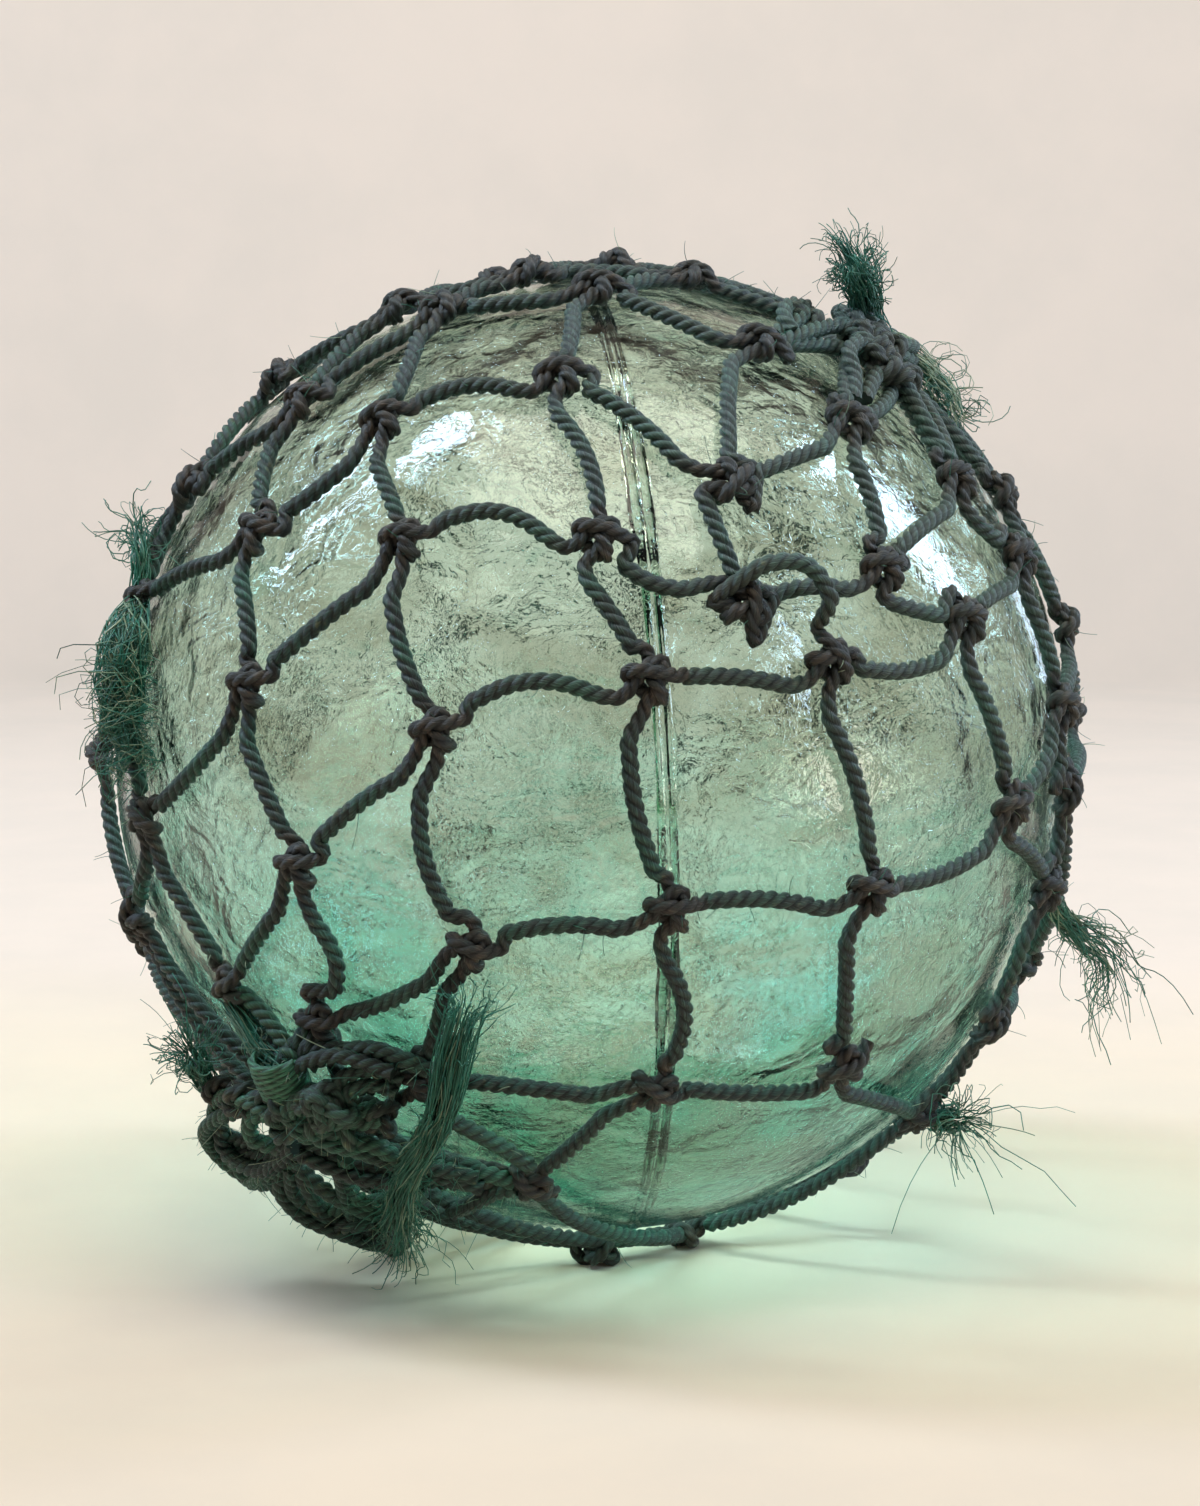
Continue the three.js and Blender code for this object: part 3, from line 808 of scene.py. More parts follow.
def glass_material(settings):
    """Old clear glass; the outside is finely scratched, and the inside waves more."""
    material, nodes, links = new_material("old float glass")
    inside = attribute(nodes, "inside")

    def depth_of(outer, inner):
        return math_node(nodes, links, "MULTIPLY_ADD", inside, inner - outer, third=outer)

    where = nodes.new("ShaderNodeTexCoord").outputs["Object"]
    centred = mapped(nodes, links, where, place=tuple(-CENTRE))
    split = nodes.new("ShaderNodeSeparateXYZ")
    links.new(centred, split.inputs[0])
    height = split.outputs["Z"]

    patches = noise(nodes, links, centred, 16, 3, 0.55, 0.6)
    low = ramp(nodes, links, height, 0.02, -0.11)
    teal = math_node(nodes, links, "MULTIPLY", ramp(nodes, links, patches, 0.45, 0.58), low)
    streaks = noise(nodes, links, mapped(nodes, links, centred, (1, 1, 2.6)), 26, 3, 0.6, 1.4)
    streak = math_node(nodes, links, "MULTIPLY", ramp(nodes, links, streaks, 0.60, 0.72), 0.45)
    share = math_node(nodes, links, "MAXIMUM", teal, streak)
    colour = mix_colour(nodes, links, share, tuple(settings.glass_colour), tuple(settings.teal_colour))
    clouded = mapped(nodes, links, centred, (1, 1, 1.3), (0.3, 0.1, 0.2))
    cloud = noise(nodes, links, clouded, 13, 3, 0.5, 1.8)
    # Painted shade: the glass turns teal towards the bottom, standing in for the shadowed floor seen
    # through its lower part.
    shade_towards_bottom = ramp(nodes, links, height, 0.04, -0.10, 0.0, 0.5)
    colour = mix_colour(nodes, links, shade_towards_bottom, colour, tuple(settings.teal_colour))
    murk = math_node(nodes, links, "MULTIPLY", ramp(nodes, links, cloud, 0.48, 0.62), 0.75)
    colour = mix_colour(nodes, links, murk, colour, (0.62, 0.66, 0.56))

    fine = squiggles(nodes, links, centred, 340, 0.030, 0.50)
    coarse = squiggles(nodes, links, centred, 150, 0.016, 0.53)
    worn = ramp(nodes, links, height, 0.10, -0.05, 0.35, 1.0)
    scratch = math_node(nodes, links, "MAXIMUM", fine, coarse)
    scratch = math_node(nodes, links, "MULTIPLY", scratch, worn)
    pits = noise(nodes, links, centred, 900, 1.0)
    pit = ramp(nodes, links, pits, 0.70, 0.78)

    shader, end = principled(nodes, links)
    shader.inputs["Transmission Weight"].default_value = 1.0
    shader.inputs["Metallic"].default_value = 0.0
    shader.inputs["IOR"].default_value = 1.5
    scratched = mix_colour(nodes, links, math_node(nodes, links, "MULTIPLY", scratch, 0.35), colour,
                           (0.62, 0.70, 0.62))
    links.new(scratched, shader.inputs["Base Color"])
    dull = math_node(nodes, links, "MULTIPLY_ADD", scratch, 0.22, third=0.015)
    links.new(dull, shader.inputs["Roughness"])

    ripples = noise(nodes, links, mapped(nodes, links, centred, (1, 1, 1.5)), 42, 2, 0.5, 1.0)
    marks = noise(nodes, links, centred, 190, 2, 0.5, 0.8)
    grain = noise(nodes, links, centred, 430, 2, 0.55, 1.2)
    relief = math_node(nodes, links, "MULTIPLY", ripples, depth_of(0.35, 1.5))
    relief = math_node(nodes, links, "MULTIPLY_ADD", marks, depth_of(0.12, 0.30), third=relief)
    relief = math_node(nodes, links, "MULTIPLY_ADD", math_node(nodes, links, "MULTIPLY", grain, worn),
                       depth_of(0.16, 0.06), third=relief)
    relief = math_node(nodes, links, "MULTIPLY_ADD", scratch, depth_of(-0.14, 0.0), third=relief)
    relief = math_node(nodes, links, "MULTIPLY_ADD", pit, depth_of(-0.10, 0.0), third=relief)
    bump = nodes.new("ShaderNodeBump")
    bump.inputs["Strength"].default_value = 1.0
    bump.inputs["Distance"].default_value = 0.0011
    links.new(relief, bump.inputs["Height"])
    links.new(bump.outputs[0], shader.inputs["Normal"])

    lamps = nodes.new("ShaderNodeLightPath")
    clear = nodes.new("ShaderNodeBsdfTransparent")
    clear.inputs["Color"].default_value = (0.95, 0.98, 0.93, 1)
    either = nodes.new("ShaderNodeMixShader")
    links.new(lamps.outputs["Is Shadow Ray"], either.inputs[0])
    links.new(shader.outputs[0], either.inputs[1])
    links.new(clear.outputs[0], either.inputs[2])
    links.new(either.outputs[0], end.inputs["Surface"])

    depth = nodes.new("ShaderNodeVolumeAbsorption")
    depth.inputs["Color"].default_value = (0.45, 0.88, 0.72, 1)
    depth.inputs["Density"].default_value = settings.glass_depth
    links.new(depth.outputs[0], end.inputs["Volume"])
    return material


def twine_material(name, settings, greener=0.0):
    material, nodes, links = new_material(name)
    lay = nodes.new("ShaderNodeUVMap")
    lay.uv_map = "lay"
    along = lay.outputs[0]
    where = nodes.new("ShaderNodeTexCoord").outputs["Object"]
    yarns = noise(nodes, links, mapped(nodes, links, along, (1, 0.09, 1)), 2600, 3, 0.6, 0.3)
    tones = noise(nodes, links, mapped(nodes, links, along, (1, 0.16, 1)), 900, 2, 0.5)
    blotch = noise(nodes, links, where, 42, 3, 0.55)
    flecks = noise(nodes, links, where, 210, 3, 0.6)

    base = mix_colour(nodes, links, ramp(nodes, links, tones, 0.35, 0.68),
                      tuple(settings.twine_dark), tuple(settings.twine_light))
    green = math_node(nodes, links, "MULTIPLY", ramp(nodes, links, blotch, 0.50, 0.66), 0.8)
    base = mix_colour(nodes, links, green, base, (0.020, 0.105, 0.066))
    olive = math_node(nodes, links, "MULTIPLY", ramp(nodes, links, flecks, 0.62, 0.74), 0.55)
    base = mix_colour(nodes, links, olive, base, (0.16, 0.17, 0.07))
    base = mix_colour(nodes, links, math_node(nodes, links, "MULTIPLY", attribute(nodes, "bleach"), 0.45),
                      base, (0.100, 0.155, 0.125))
    bright = math_node(nodes, links, "ADD", attribute(nodes, "tone"), greener, clamp=True)
    base = mix_colour(nodes, links, bright, base, (0.045, 0.20, 0.105))
    tar = mix_colour(nodes, links, ramp(nodes, links, flecks, 0.42, 0.66), (0.010, 0.008, 0.006),
                     (0.062, 0.037, 0.022))
    base = mix_colour(nodes, links, math_node(nodes, links, "MULTIPLY", attribute(nodes, "knot"), 0.80),
                      base, tar)
    lit = mix_colour(nodes, links, ramp(nodes, links, yarns, 0.45, 0.75), (0.55, 0.55, 0.55),
                     (1.55, 1.5, 1.45))
    base = mix_colour(nodes, links, 1.0, base, lit, "MULTIPLY")
    # Painted shade and light: the twine is darkened in the grooves between its strands and lightened on the
    # strands' crowns.
    dark = math_node(nodes, links, "MULTIPLY_ADD", attribute(nodes, "groove"), -0.95, third=1.25)
    base = mix_colour(nodes, links, 1.0, base, dark, "MULTIPLY")

    shader, _ = principled(nodes, links)
    links.new(base, shader.inputs["Base Color"])
    shader.inputs["Specular IOR Level"].default_value = 0.55
    rough = ramp(nodes, links, yarns, 0.3, 0.8, 0.62, 0.40)
    links.new(rough, shader.inputs["Roughness"])
    bump = nodes.new("ShaderNodeBump")
    bump.inputs["Strength"].default_value = 0.9
    bump.inputs["Distance"].default_value = 0.0006
    links.new(yarns, bump.inputs["Height"])
    links.new(bump.outputs[0], shader.inputs["Normal"])
    return material


def fibre_material():
    material, nodes, links = new_material("frayed fibres")
    tone = attribute(nodes, "tone")
    where = nodes.new("ShaderNodeTexCoord").outputs["Object"]
    mottle = noise(nodes, links, where, 120, 2, 0.5)
    dark = mix_colour(nodes, links, ramp(nodes, links, tone, 0.0, 0.45), (0.012, 0.040, 0.028),
                      (0.018, 0.165, 0.105))
    pale = mix_colour(nodes, links, ramp(nodes, links, tone, 0.55, 1.0), dark, (0.36, 0.42, 0.27))
    colour = mix_colour(nodes, links, ramp(nodes, links, mottle, 0.3, 0.7, 0.0, 0.5), pale,
                        (0.020, 0.075, 0.050))
    shader, _ = principled(nodes, links)
    links.new(colour, shader.inputs["Base Color"])
    shader.inputs["Roughness"].default_value = 0.5
    rough = ramp(nodes, links, mottle, 0.3, 0.7, 0.42, 0.62)
    links.new(rough, shader.inputs["Roughness"])
    return material


def stage_material(name, settings):
    material, nodes, links = new_material(name)
    where = nodes.new("ShaderNodeTexCoord").outputs["Object"]
    mottle = noise(nodes, links, where, 9, 5, 0.6)
    split = nodes.new("ShaderNodeSeparateXYZ")
    links.new(where, split.inputs[0])
    # Painted shade: the floor colour turns to the slightly darker backdrop colour further back, standing in
    # for the light falling off there.
    back = ramp(nodes, links, split.outputs["Y"], 0.16, 0.46)
    colour = mix_colour(nodes, links, back, tuple(settings.floor_colour), tuple(settings.wall_colour))
    colour = mix_colour(nodes, links, ramp(nodes, links, mottle, 0.3, 0.7, 0.0, 0.22), colour,
                        (0.62, 0.54, 0.45))
    shader, _ = principled(nodes, links)
    links.new(colour, shader.inputs["Base Color"])
    shader.inputs["Roughness"].default_value = 0.85
    shader.inputs["Specular IOR Level"].default_value = 0.2
    return material


# ---- Sizes and colours that a user would change ----

class BallSettings(bpy.types.PropertyGroup):
    """The glass ball."""

    wall: bpy.props.FloatProperty(name="Wall", description="Thickness of the glass",
                                  default=0.0045, unit="LENGTH")
    wave: bpy.props.FloatProperty(name="Inner wave", description="How far the inner face waves",
                                  default=0.0055, unit="LENGTH")
    glass_colour: bpy.props.FloatVectorProperty(name="Glass", description="Colour of the clear glass",
                                                default=(0.84, 0.95, 0.88), subtype="COLOR")
    # The teal is also the painted shade towards the bottom of the glass.
    teal_colour: bpy.props.FloatVectorProperty(name="Teal", description="Colour of the denser glass",
                                               default=(0.29, 0.70, 0.59), subtype="COLOR")
    glass_depth: bpy.props.FloatProperty(name="Depth", description="How strongly depth tints the glass",
                                         default=14.0)


class NetSettings(bpy.types.PropertyGroup):
    """The twine of the net and its lashings."""

    diameter: bpy.props.FloatProperty(name="Twine", description="Diameter of the twine",
                                      default=0.005, unit="LENGTH")
    lay: bpy.props.FloatProperty(name="Lay", description="Length of one turn of its strands",
                                 default=0.0115, unit="LENGTH")
    twine_dark: bpy.props.FloatVectorProperty(name="Dark", description="Darkest green of the twine",
                                              default=(0.007, 0.016, 0.013), subtype="COLOR")
    twine_light: bpy.props.FloatVectorProperty(name="Light", description="Lighter green of the twine",
                                               default=(0.022, 0.066, 0.047), subtype="COLOR")


class StageSettings(bpy.types.PropertyGroup):
    """The floor, light and camera."""

    floor_colour: bpy.props.FloatVectorProperty(name="Floor", description="Colour of the floor",
                                                default=(0.82, 0.66, 0.50), subtype="COLOR")
    wall_colour: bpy.props.FloatVectorProperty(name="Backdrop", description="Colour of the backdrop",
                                               default=(0.80, 0.65, 0.53), subtype="COLOR")


# ---- Pieces ----

def deselect():
    if bpy.context.mode != "OBJECT":
        bpy.ops.object.mode_set(mode="OBJECT")
    bpy.ops.object.select_all(action="DESELECT")


def apply_modifiers(piece):
    bpy.context.view_layer.objects.active = piece
    for modifier in list(piece.modifiers):
        bpy.ops.object.modifier_apply(modifier=modifier.name)


def cloud_wave(piece, name, size, strength, depth=2, group=""):
    texture = bpy.data.textures.new(name, "CLOUDS")
    texture.noise_scale = size
    texture.noise_depth = depth
    wave = piece.modifiers.new(name, "DISPLACE")
    wave.texture = texture
    wave.texture_coords = "LOCAL"
    wave.strength = strength
    wave.mid_level = 0.5
    if group:
        wave.vertex_group = group


class FLOAT_OT_ball(bpy.types.Operator):
    """Adds the hollow glass ball with its seam and waves"""

    bl_idname = "float.ball"
    bl_label = "Glass ball"

    def execute(self, context):
        settings = context.scene.float_ball
        deselect()
        radius = RADIUS_MM * MM
        # Half a circle, finer where the mould's seam stands, spun round the seam's axis.
        bpy.ops.mesh.primitive_circle_add(vertices=248, radius=radius, fill_type="NOTHING")
        ball = context.object
        ball.name = "glass_ball"
        bpy.ops.object.mode_set(mode="EDIT")
        shaped = bmesh.from_edit_mesh(ball.data)
        for vert in shaped.verts:
            vert.select = vert.co.x < -1e-6 * radius - 1e-7
        shaped.select_flush(True)
        bpy.ops.mesh.delete(type="VERT")
        shaped = bmesh.from_edit_mesh(ball.data)
        for edge in shaped.edges:
            edge.select = all(abs(v.co.y) < 0.0080 for v in edge.verts)
        shaped.select_flush_mode()
        bpy.ops.mesh.subdivide(number_cuts=5)
        shaped = bmesh.from_edit_mesh(ball.data)
        for vert in shaped.verts:
            away = abs(vert.co.y) / MM
            ridge = 0.55 * math.exp(-(((away - 1.6) / 0.75) ** 2)) - 0.10 * math.exp(-((away / 0.8) ** 2))
            vert.co = vert.co.normalized() * (radius + ridge * MM)
        bpy.ops.mesh.select_all(action="SELECT")
        bpy.ops.mesh.spin(steps=240, angle=2 * math.pi, center=(0, 0, 0), axis=(0, 1, 0),
                          use_auto_merge=True)
        bpy.ops.mesh.select_all(action="SELECT")
        bpy.ops.mesh.remove_doubles(threshold=1e-5)
        bpy.ops.mesh.select_all(action="SELECT")
        bpy.ops.mesh.normals_make_consistent(inside=False)
        bpy.ops.object.mode_set(mode="OBJECT")
        tilt = Vector((0, 1, 0)).rotation_difference(Vector(SEAM_NORMAL)).to_matrix().to_4x4()
        ball.data.transform(tilt)
        ball.data.transform(Matrix.Translation(Vector(CENTRE)))
        ball.data.materials.append(glass_material(settings))
        cloud_wave(ball, "outer waves", 0.050, 0.0006)
        wall = ball.modifiers.new("wall", "SOLIDIFY")
        wall.thickness = settings.wall
        wall.offset = -1
        ball.vertex_groups.new(name="inner")
        wall.shell_vertex_group = "inner"
        cloud_wave(ball, "inner waves", 0.055, settings.wave, group="inner")
        cloud_wave(ball, "inner ripples", 0.020, settings.wave * 0.22, group="inner")
        apply_modifiers(ball)
        ball.data.shade_smooth()
        inner = ball.vertex_groups["inner"].index
        inside = ball.data.attributes.new("inside", "FLOAT", "POINT")
        for vertex, mark in zip(ball.data.vertices, inside.data):
            mark.value = max((one.weight for one in vertex.groups if one.group == inner), default=0.0)
        ball.vertex_groups.clear()
        hand_over(ball, "glass_float")
        return {"FINISHED"}


def net_materials(context):
    found = bpy.data.materials.get("net twine")
    if found:
        return [found, bpy.data.materials["frayed fibres"]]
    return [twine_material("net twine", context.scene.float_net), fibre_material()]


class FLOAT_OT_rounds(bpy.types.Operator):
    """Adds the seven knotted rounds of twine"""

    bl_idname = "float.rounds"
    bl_label = "Net rounds"

    def execute(self, context):
        settings = context.scene.float_net
        materials = net_materials(context)
        for row in range(1, LAST_ROW):
            shape = Shape()
            points, knotted = round_path(row)
            closed = row not in PARTED
            lay_twine(shape, points, settings.diameter / MM, closed, knotted, lay=settings.lay / MM)
            run = even_run(points, 3.0, False)[0]
            add_fuzz(shape, run, 60, row)
            add_round_ends(shape, row, settings)
            finish_piece(f"twine_round_{row}", shape, materials, f"net_round_{row}")
        return {"FINISHED"}


def add_round_ends(shape, row, settings):
    """The frayed ends and the tied cord that grow out of a round."""
    twine = settings.diameter / MM
    if row == 1:
        points = [knot_at(1, 4) * (RADIUS_MM + 5)]
        points += route_points(((-4, -56, 4), (6, -63, 4), (18, -68, 4)))
        points.append(knot_at(1, 6) * (RADIUS_MM + 5))
        lay_twine(shape, points, twine, lay=settings.lay / MM)
    elif row == 2:
        route = [knot_at(2, 5) * (RADIUS_MM + 5)] + route_points(((70, -43, 10), (62, -39, 15)))
        lay_twine(shape, route[:2], twine, bright=0.6, lay=settings.lay / MM)
        add_tuft(shape, route, (2, 5, 5), 90, 21, beyond=22, droop=0.5, tone=(0.25, 0.8))
    elif row == 3:
        route = [knot_at(3, -4) * (RADIUS_MM + 5)]
        route += route_points(((-64, 15, 9.5), (-63, 11, 9.5), (-62, 7, 8), (-61, 4, 6)))
        add_tuft(shape, route, (3, 6.5, 8, 6.5, 3), 300, 31, beyond=13, curl=1.3, tone=(0.15, 0.95),
                 wrap=0.8, droop=0.1, loose=0.2)
        upper = [knot_at(3, -4) * (RADIUS_MM + 5)] + route_points(((-72, 25, 8), (-78, 28, 12)))
        add_tuft(shape, upper, (2, 3, 3), 60, 32, beyond=12, curl=1.4, tone=(0.2, 0.7))
    elif row == 4:
        route = [knot_at(4, 5) * (RADIUS_MM + 5)]
        route += route_points(((71, -16, 8), (75, -18, 15), (77, -19, 23), (77, -21, 30)))
        lay_twine(shape, route[:3], twine, bright=0.5, lay=settings.lay / MM)
        add_tuft(shape, route, (2, 2.5, 4, 6, 7), 90, 41, beyond=14, curl=1.5, droop=0.8, tone=(0.25, 0.9))


class FLOAT_OT_feet(bpy.types.Operator):
    """Adds the two end rounds, whose loops run into the gathers"""

    bl_idname = "float.feet"
    bl_label = "Net feet"

    def execute(self, context):
        settings = context.scene.float_net
        materials = net_materials(context)
        for row, name, node in ((0, "twine_bottom_feet", "net_bottom_feet"),
                                (LAST_ROW, "twine_top_feet", "net_top_feet")):
            shape = Shape()
            points, knotted = round_path(row)
            lay_twine(shape, points, settings.diameter / MM, True, knotted, lay=settings.lay / MM)
            add_fuzz(shape, even_run(points, 3.0, False)[0], 70, 80 + row)
            if row == 0:
                knot_lump(shape, (2, -73, 6), 6, 3)
            finish_piece(name, shape, materials, node)
        return {"FINISHED"}


class FLOAT_OT_bottom_lashing(bpy.types.Operator):
    """Adds the doubled lashing of the lower gather and its frayed ends"""

    bl_idname = "float.bottom_lashing"
    bl_label = "Lower lashing"

    def execute(self, context):
        settings = context.scene.float_net
        materials = net_materials(context)
        twine = settings.diameter / MM
        shape = Shape()
        lay = settings.lay / MM
        for number, route in enumerate(BOTTOM_LASHINGS):
            points = route_points(route)
            tone = (0.0, 0.12, 0.3)[number % 3]
            lay_pair(shape, points, twine, lay, 400 + number, tone)
            add_fuzz(shape, even_run(points, 2.0, False)[0], 22, 200 + number, tone=(0.1, 1.0))
        for number, route in enumerate(GATHER_ROPES):
            points = route_points(route)
            lay_twine(shape, points, twine * 1.04, lay=lay, bright=(0.05, 0.35, 0.15, 0.0)[number % 4])
            add_fuzz(shape, even_run(points, 2.0, False)[0], 12, 230 + number, tone=(0.1, 1.0))
        for number, (azimuth, elevation, proud, size) in enumerate(BOTTOM_KNOTS):
            knot_lump(shape, (azimuth, elevation, proud), size, 300 + number, tone=0.15,
                      dark=0.9 if number > 3 else 0.3)
        tail = route_points(((-54, -35, 15), (-55, -32, 15), (-54, -29, 16), (-51, -26, 19)))
        lay_twine(shape, tail[:3], twine, lay=lay, bright=0.3)
        add_tuft(shape, tail, (2.5, 3.5, 4.5, 5), 110, 51, beyond=12, curl=1.0, droop=-0.3,
                 tone=(0.2, 0.75))
        strand = route_points(((-48, -22, 5), (-44, -24, 8), (-41, -26, 11), (-37, -27, 14)))
        add_tuft(shape, strand, (2.5, 3.5, 3.5, 3), 90, 54, beyond=3, curl=0.5, tone=(0.3, 0.8),
                 loose=0.1)
        front = route_points(((-13, -18, 11), (-15, -23, 12), (-16, -27, 15), (-19, -33, 15),
                              (-24, -39, 16), (-31, -48, 15), (-40, -57, 15)))
        add_tuft(shape, front, (4, 5, 4.5, 4, 5, 6, 7), 190, 52, beyond=10, curl=1.0, droop=0.5,
                 tone=(0.3, 0.85))
        add_tuft(shape, front[::-1], (5, 5, 4, 4, 4, 6, 6), 130, 53, beyond=8, curl=0.6, droop=-0.2,
                 tone=(0.25, 0.6))
        finish_piece("twine_bottom_lashing", shape, materials, "bottom_lashing")
        return {"FINISHED"}


WHIPPING_TURNS = 9
TURN_STEPS = 14
WHIPPING_WIDE = 7.6  # half sizes of a turn, at the middle of the yarn
WHIPPING_TALL = 5.3
YARN = 2.5
YARN_LAY = 16


class FLOAT_OT_whipping(bpy.types.Operator):
    """Adds the green yarn wound round the feet of the lower gather"""

    bl_idname = "float.whipping"
    bl_label = "Whipping"

    def execute(self, context):
        settings = context.scene.float_net
        shape = Shape()
        route = np.array(route_points(BAND_ROUTE))
        points = []
        for i in range(WHIPPING_TURNS * TURN_STEPS + 1):
            share = i / (WHIPPING_TURNS * TURN_STEPS)
            centre = route[0] * (1 - share) + route[-1] * share
            out = unit(centre)
            along = unit(route[-1] - route[0])
            side = np.cross(out, along)
            angle = 2 * math.pi * i / TURN_STEPS
            swell = 1 + 0.06 * math.sin(math.pi * share)
            across = side * (WHIPPING_WIDE * swell * math.cos(angle))
            points.append(centre + across + out * (WHIPPING_TALL * math.sin(angle) * swell))
        lay_twine(shape, points, YARN, lay=YARN_LAY, spacing=1.0, bright=0.0)
        finish_piece("whipping_yarn", shape, [twine_material("whipping yarn", settings, 0.85)],
                     "whipping_band")
        return {"FINISHED"}


class FLOAT_OT_top_lashing(bpy.types.Operator):
    """Adds the turns of twine round the upper gather and its tufts"""

    bl_idname = "float.top_lashing"
    bl_label = "Upper lashing"

    def execute(self, context):
        settings = context.scene.float_net
        materials = net_materials(context)
        shape = Shape()
        middle = direction(*TOP_GATHER)
        east = unit(np.cross(np.array([0, 1.0, 0]), middle))
        north = np.cross(middle, east)
        for turn, (spread, proud) in enumerate(((TOP_TURNS, TOP_LASHING_PROUD), (TOP_TURNS - 1.2, 12))):
            points = []
            for k in range(14):
                angle = 2 * math.pi * k / 14 + turn
                wide = math.tan(math.radians(spread)) * (1 + 0.08 * math.sin(3 * angle))
                aim = unit(middle + (east * math.cos(angle) + north * math.sin(angle)) * wide)
                points.append(aim * (RADIUS_MM + proud + 0.8 * math.sin(2 * angle + turn)))
            lay_twine(shape, points, settings.diameter / MM, True, lay=settings.lay / MM)
        for number, route in enumerate(TOP_ROPES):
            lay_twine(shape, route_points(route), settings.diameter / MM, lay=settings.lay / MM)
        for number, (azimuth, elevation, proud, size) in enumerate(TOP_KNOTS):
            knot_lump(shape, (azimuth, elevation, proud), size, 320 + number, dark=0.5)
        upright = route_points(((84, 55, 9), (84, 58, 13), (78, 60, 20), (68, 62, 28)))
        add_tuft(shape, upright, (3, 5, 6.5, 7), 200, 61, beyond=8, curl=1.0, droop=0.1, tone=(0.25, 0.7))
        strand = route_points(((88, 56, 9), (88, 51, 9.5), (85, 46, 9), (82, 43, 7)))
        add_tuft(shape, strand, (4, 5, 4, 2), 110, 62, beyond=6, curl=1.6, tone=(0.5, 1.0))
        finish_piece("twine_top_lashing", shape, materials, "top_lashing")
        return {"FINISHED"}


CAMERA_AWAY = 1.05
CAMERA_RISE = 8.0
LONG_SIDE = 1506
FOCAL = 3312


def soft_light(name, towards, away, size, radiance, colour, turn=0.0, lights_floor=True):
    """A soft box at a distance from the ball along a direction, of a given brightness."""
    data = bpy.data.lights.new(name, "AREA")
    data.shape = "RECTANGLE"
    data.size, data.size_y = size
    data.energy = radiance * math.pi * size[0] * size[1]
    data.color = colour
    lamp = bpy.data.objects.new(name, data)
    bpy.context.scene.collection.objects.link(lamp)
    aim = Vector(towards).normalized()
    lamp.location = Vector(CENTRE) + aim * away
    facing = (-aim).to_track_quat("-Z", "Y")
    lamp.rotation_euler = (facing @ Quaternion((0, 0, 1), math.radians(turn))).to_euler()
    lamp.visible_camera = False
    lamp.visible_diffuse = lights_floor
    return lamp


def studio_world():
    """Pale where the camera sees it; darker behind the camera where the glass mirrors it."""
    world = bpy.data.worlds.new("studio")
    world.use_nodes = True
    nodes, links = world.node_tree.nodes, world.node_tree.links
    nodes.clear()
    where = nodes.new("ShaderNodeTexCoord").outputs["Generated"]
    split = nodes.new("ShaderNodeSeparateXYZ")
    links.new(where, split.inputs[0])
    back = ramp(nodes, links, split.outputs["Y"], -0.2, 0.7)
    room = mix_colour(nodes, links, back, (0.12, 0.12, 0.115), (0.95, 0.84, 0.70))
    mirrored, seen = nodes.new("ShaderNodeBackground"), nodes.new("ShaderNodeBackground")
    links.new(room, mirrored.inputs["Color"])
    mirrored.inputs["Strength"].default_value = 0.9
    seen.inputs["Color"].default_value = (0.70, 0.61, 0.51, 1)
    either = nodes.new("ShaderNodeMixShader")
    path = nodes.new("ShaderNodeLightPath")
    links.new(path.outputs["Is Camera Ray"], either.inputs[0])
    links.new(mirrored.outputs[0], either.inputs[1])
    links.new(seen.outputs[0], either.inputs[2])
    end = nodes.new("ShaderNodeOutputWorld")
    links.new(either.outputs[0], end.inputs["Surface"])
    return world


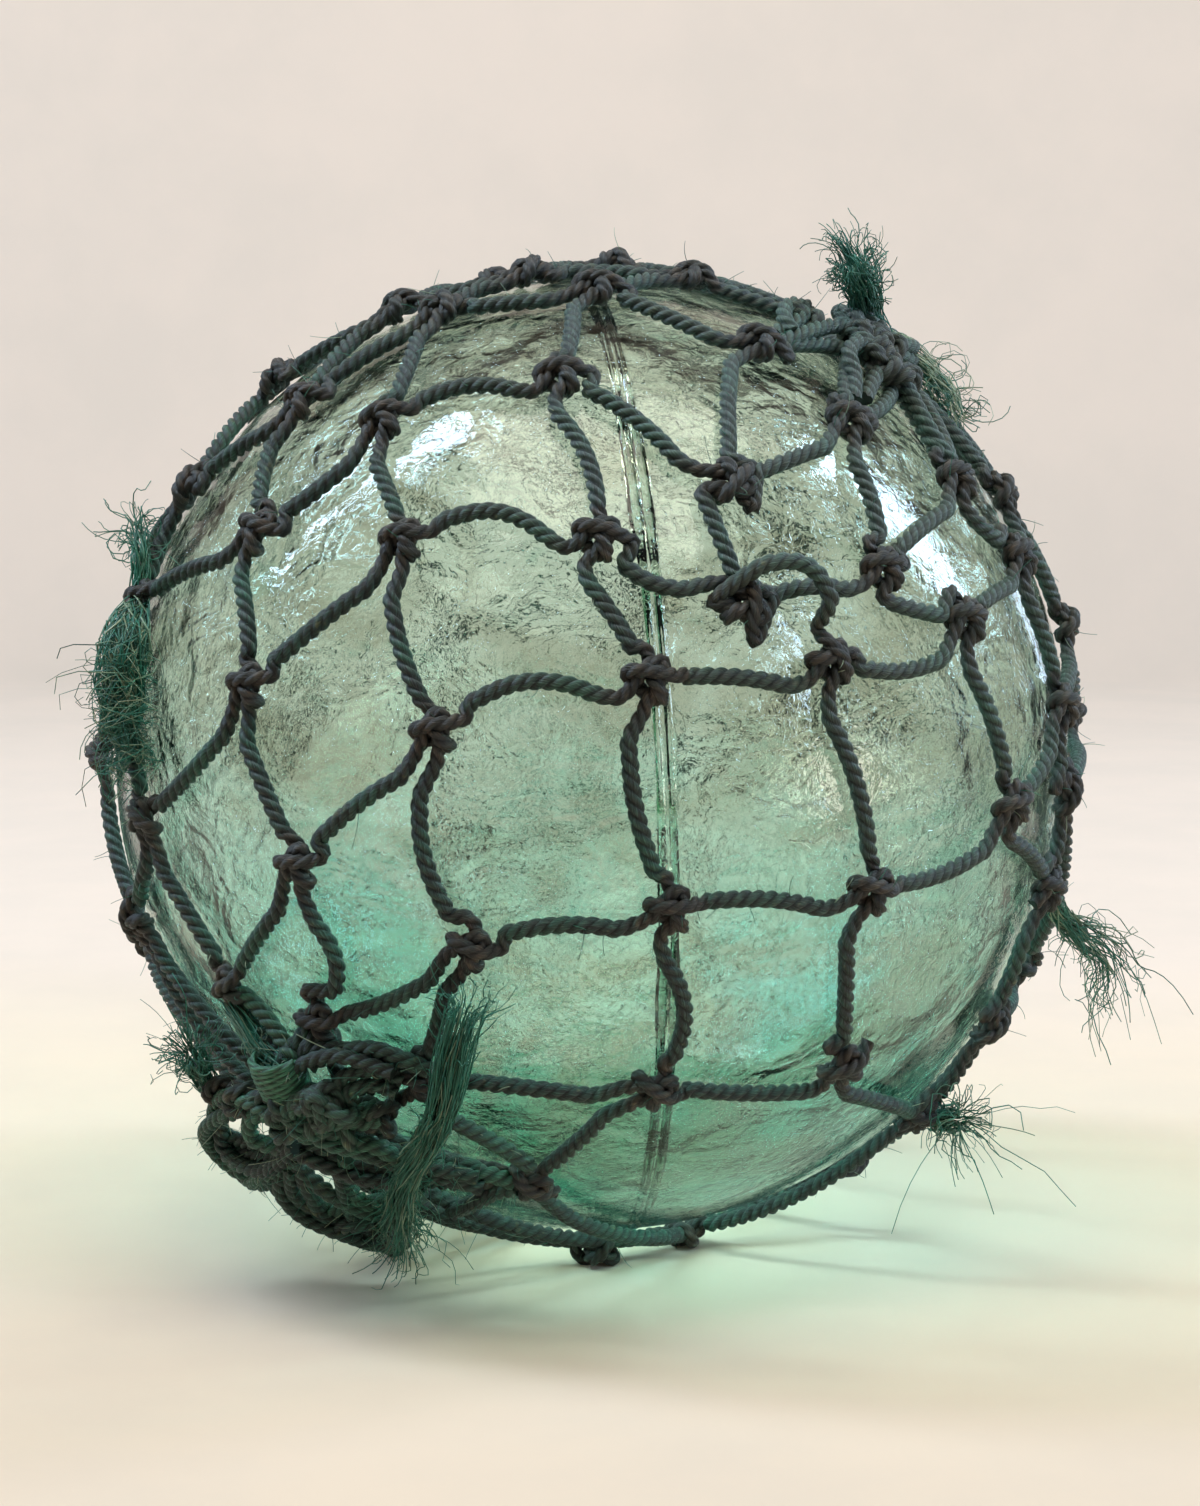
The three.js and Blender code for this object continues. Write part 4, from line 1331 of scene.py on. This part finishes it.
class FLOAT_OT_stage(bpy.types.Operator):
    """Adds the floor, the soft studio light and the camera"""

    bl_idname = "float.stage"
    bl_label = "Stage"

    def execute(self, context):
        settings = context.scene.float_stage
        deselect()
        bpy.ops.mesh.primitive_plane_add(size=8, location=(0, 0, 0))
        floor = context.object
        floor.name = "floor"
        bpy.ops.object.mode_set(mode="EDIT")
        shaped = bmesh.from_edit_mesh(floor.data)
        for vert in shaped.verts:
            if vert.co.y > 0:
                vert.co.y = 1.5
        for edge in shaped.edges:
            edge.select = all(vert.co.y > 1.4 for vert in edge.verts)
        shaped.select_flush_mode()
        bpy.ops.mesh.extrude_edges_move(TRANSFORM_OT_translate={"value": (0, 0, 3)})
        shaped = bmesh.from_edit_mesh(floor.data)
        for edge in shaped.edges:
            edge.select = all(abs(v.co.y - 1.5) < 0.01 and v.co.z < 0.01 for v in edge.verts)
        shaped.select_flush_mode()
        bpy.ops.mesh.bevel(offset=0.8, segments=16)
        bpy.ops.object.mode_set(mode="OBJECT")
        floor.data.shade_smooth()
        floor.data.materials.append(stage_material("beige paper", settings))

        cool, warm = (0.58, 0.77, 1.0), (1.0, 0.90, 0.76)
        soft_light("upper left", (-0.645, 0.12, 0.756), 1.9, (0.34, 1.4), 25, cool)
        soft_light("right", (0.78, 0.24, 0.575), 1.8, (0.26, 1.1), 25, cool)
        soft_light("right front", (0.72, -0.55, 0.42), 1.8, (0.16, 0.8), 18, cool)
        soft_light("right back", (0.715, 0.69, 0.0), 1.9, (0.35, 0.9), 4, cool, lights_floor=False)
        soft_light("above", (0.0, -0.25, 0.97), 1.8, (1.5, 1.2), 3.6, warm)
        soft_light("low right", (0.84, -0.52, -0.02), 1.7, (0.45, 0.35), 9, warm, lights_floor=False)
        wash = soft_light("backdrop wash", (0.0, 0.10, 0.995), 1.7, (2.2, 0.4), 1.9, warm)
        wash.rotation_euler = (math.radians(52), 0, 0)
        context.scene.world = studio_world()
        context.scene.view_settings.view_transform = "Standard"

        camera = bpy.data.objects.new("camera", bpy.data.cameras.new("camera"))
        context.scene.collection.objects.link(camera)
        rise = math.radians(CAMERA_RISE)
        camera.location = Vector(CENTRE) + Vector((0, -math.cos(rise), math.sin(rise))) * CAMERA_AWAY
        camera.rotation_euler = (math.pi / 2 - rise, 0, 0)
        camera.data.sensor_width = 36
        camera.data.lens = 36 * FOCAL / LONG_SIDE
        camera.data.shift_x = 8 / LONG_SIDE
        camera.data.shift_y = 1 / LONG_SIDE
        camera.data.clip_start = 0.05
        context.scene.camera = camera
        return {"FINISHED"}


class FLOAT_PT_panel(bpy.types.Panel):
    """Lists the float's pieces and their settings"""

    bl_label = "Glass Float"
    bl_idname = "FLOAT_PT_panel"
    bl_space_type = "VIEW_3D"
    bl_region_type = "UI"
    bl_category = "Float"

    def draw(self, context):
        layout = self.layout
        for group in (context.scene.float_ball, context.scene.float_net, context.scene.float_stage):
            box = layout.box()
            for name in group.__annotations__:
                box.prop(group, name)
        for operator in OPERATORS:
            layout.operator(operator.bl_idname)


SETTINGS = {"float_ball": BallSettings, "float_net": NetSettings, "float_stage": StageSettings}
OPERATORS = (FLOAT_OT_ball, FLOAT_OT_rounds, FLOAT_OT_feet, FLOAT_OT_bottom_lashing,
             FLOAT_OT_whipping, FLOAT_OT_top_lashing, FLOAT_OT_stage)


def register():
    for cls in (*SETTINGS.values(), *OPERATORS, FLOAT_PT_panel):
        bpy.utils.register_class(cls)
    for name, cls in SETTINGS.items():
        setattr(bpy.types.Scene, name, bpy.props.PointerProperty(type=cls))


def unregister():
    for name in SETTINGS:
        delattr(bpy.types.Scene, name)
    for cls in (FLOAT_PT_panel, *OPERATORS, *SETTINGS.values()):
        bpy.utils.unregister_class(cls)


def main():
    register()
    bpy.ops.float.ball()
    bpy.ops.float.rounds()
    bpy.ops.float.feet()
    bpy.ops.float.bottom_lashing()
    bpy.ops.float.whipping()
    bpy.ops.float.top_lashing()
    bpy.ops.float.stage()


if __name__ == "__main__":
    main()
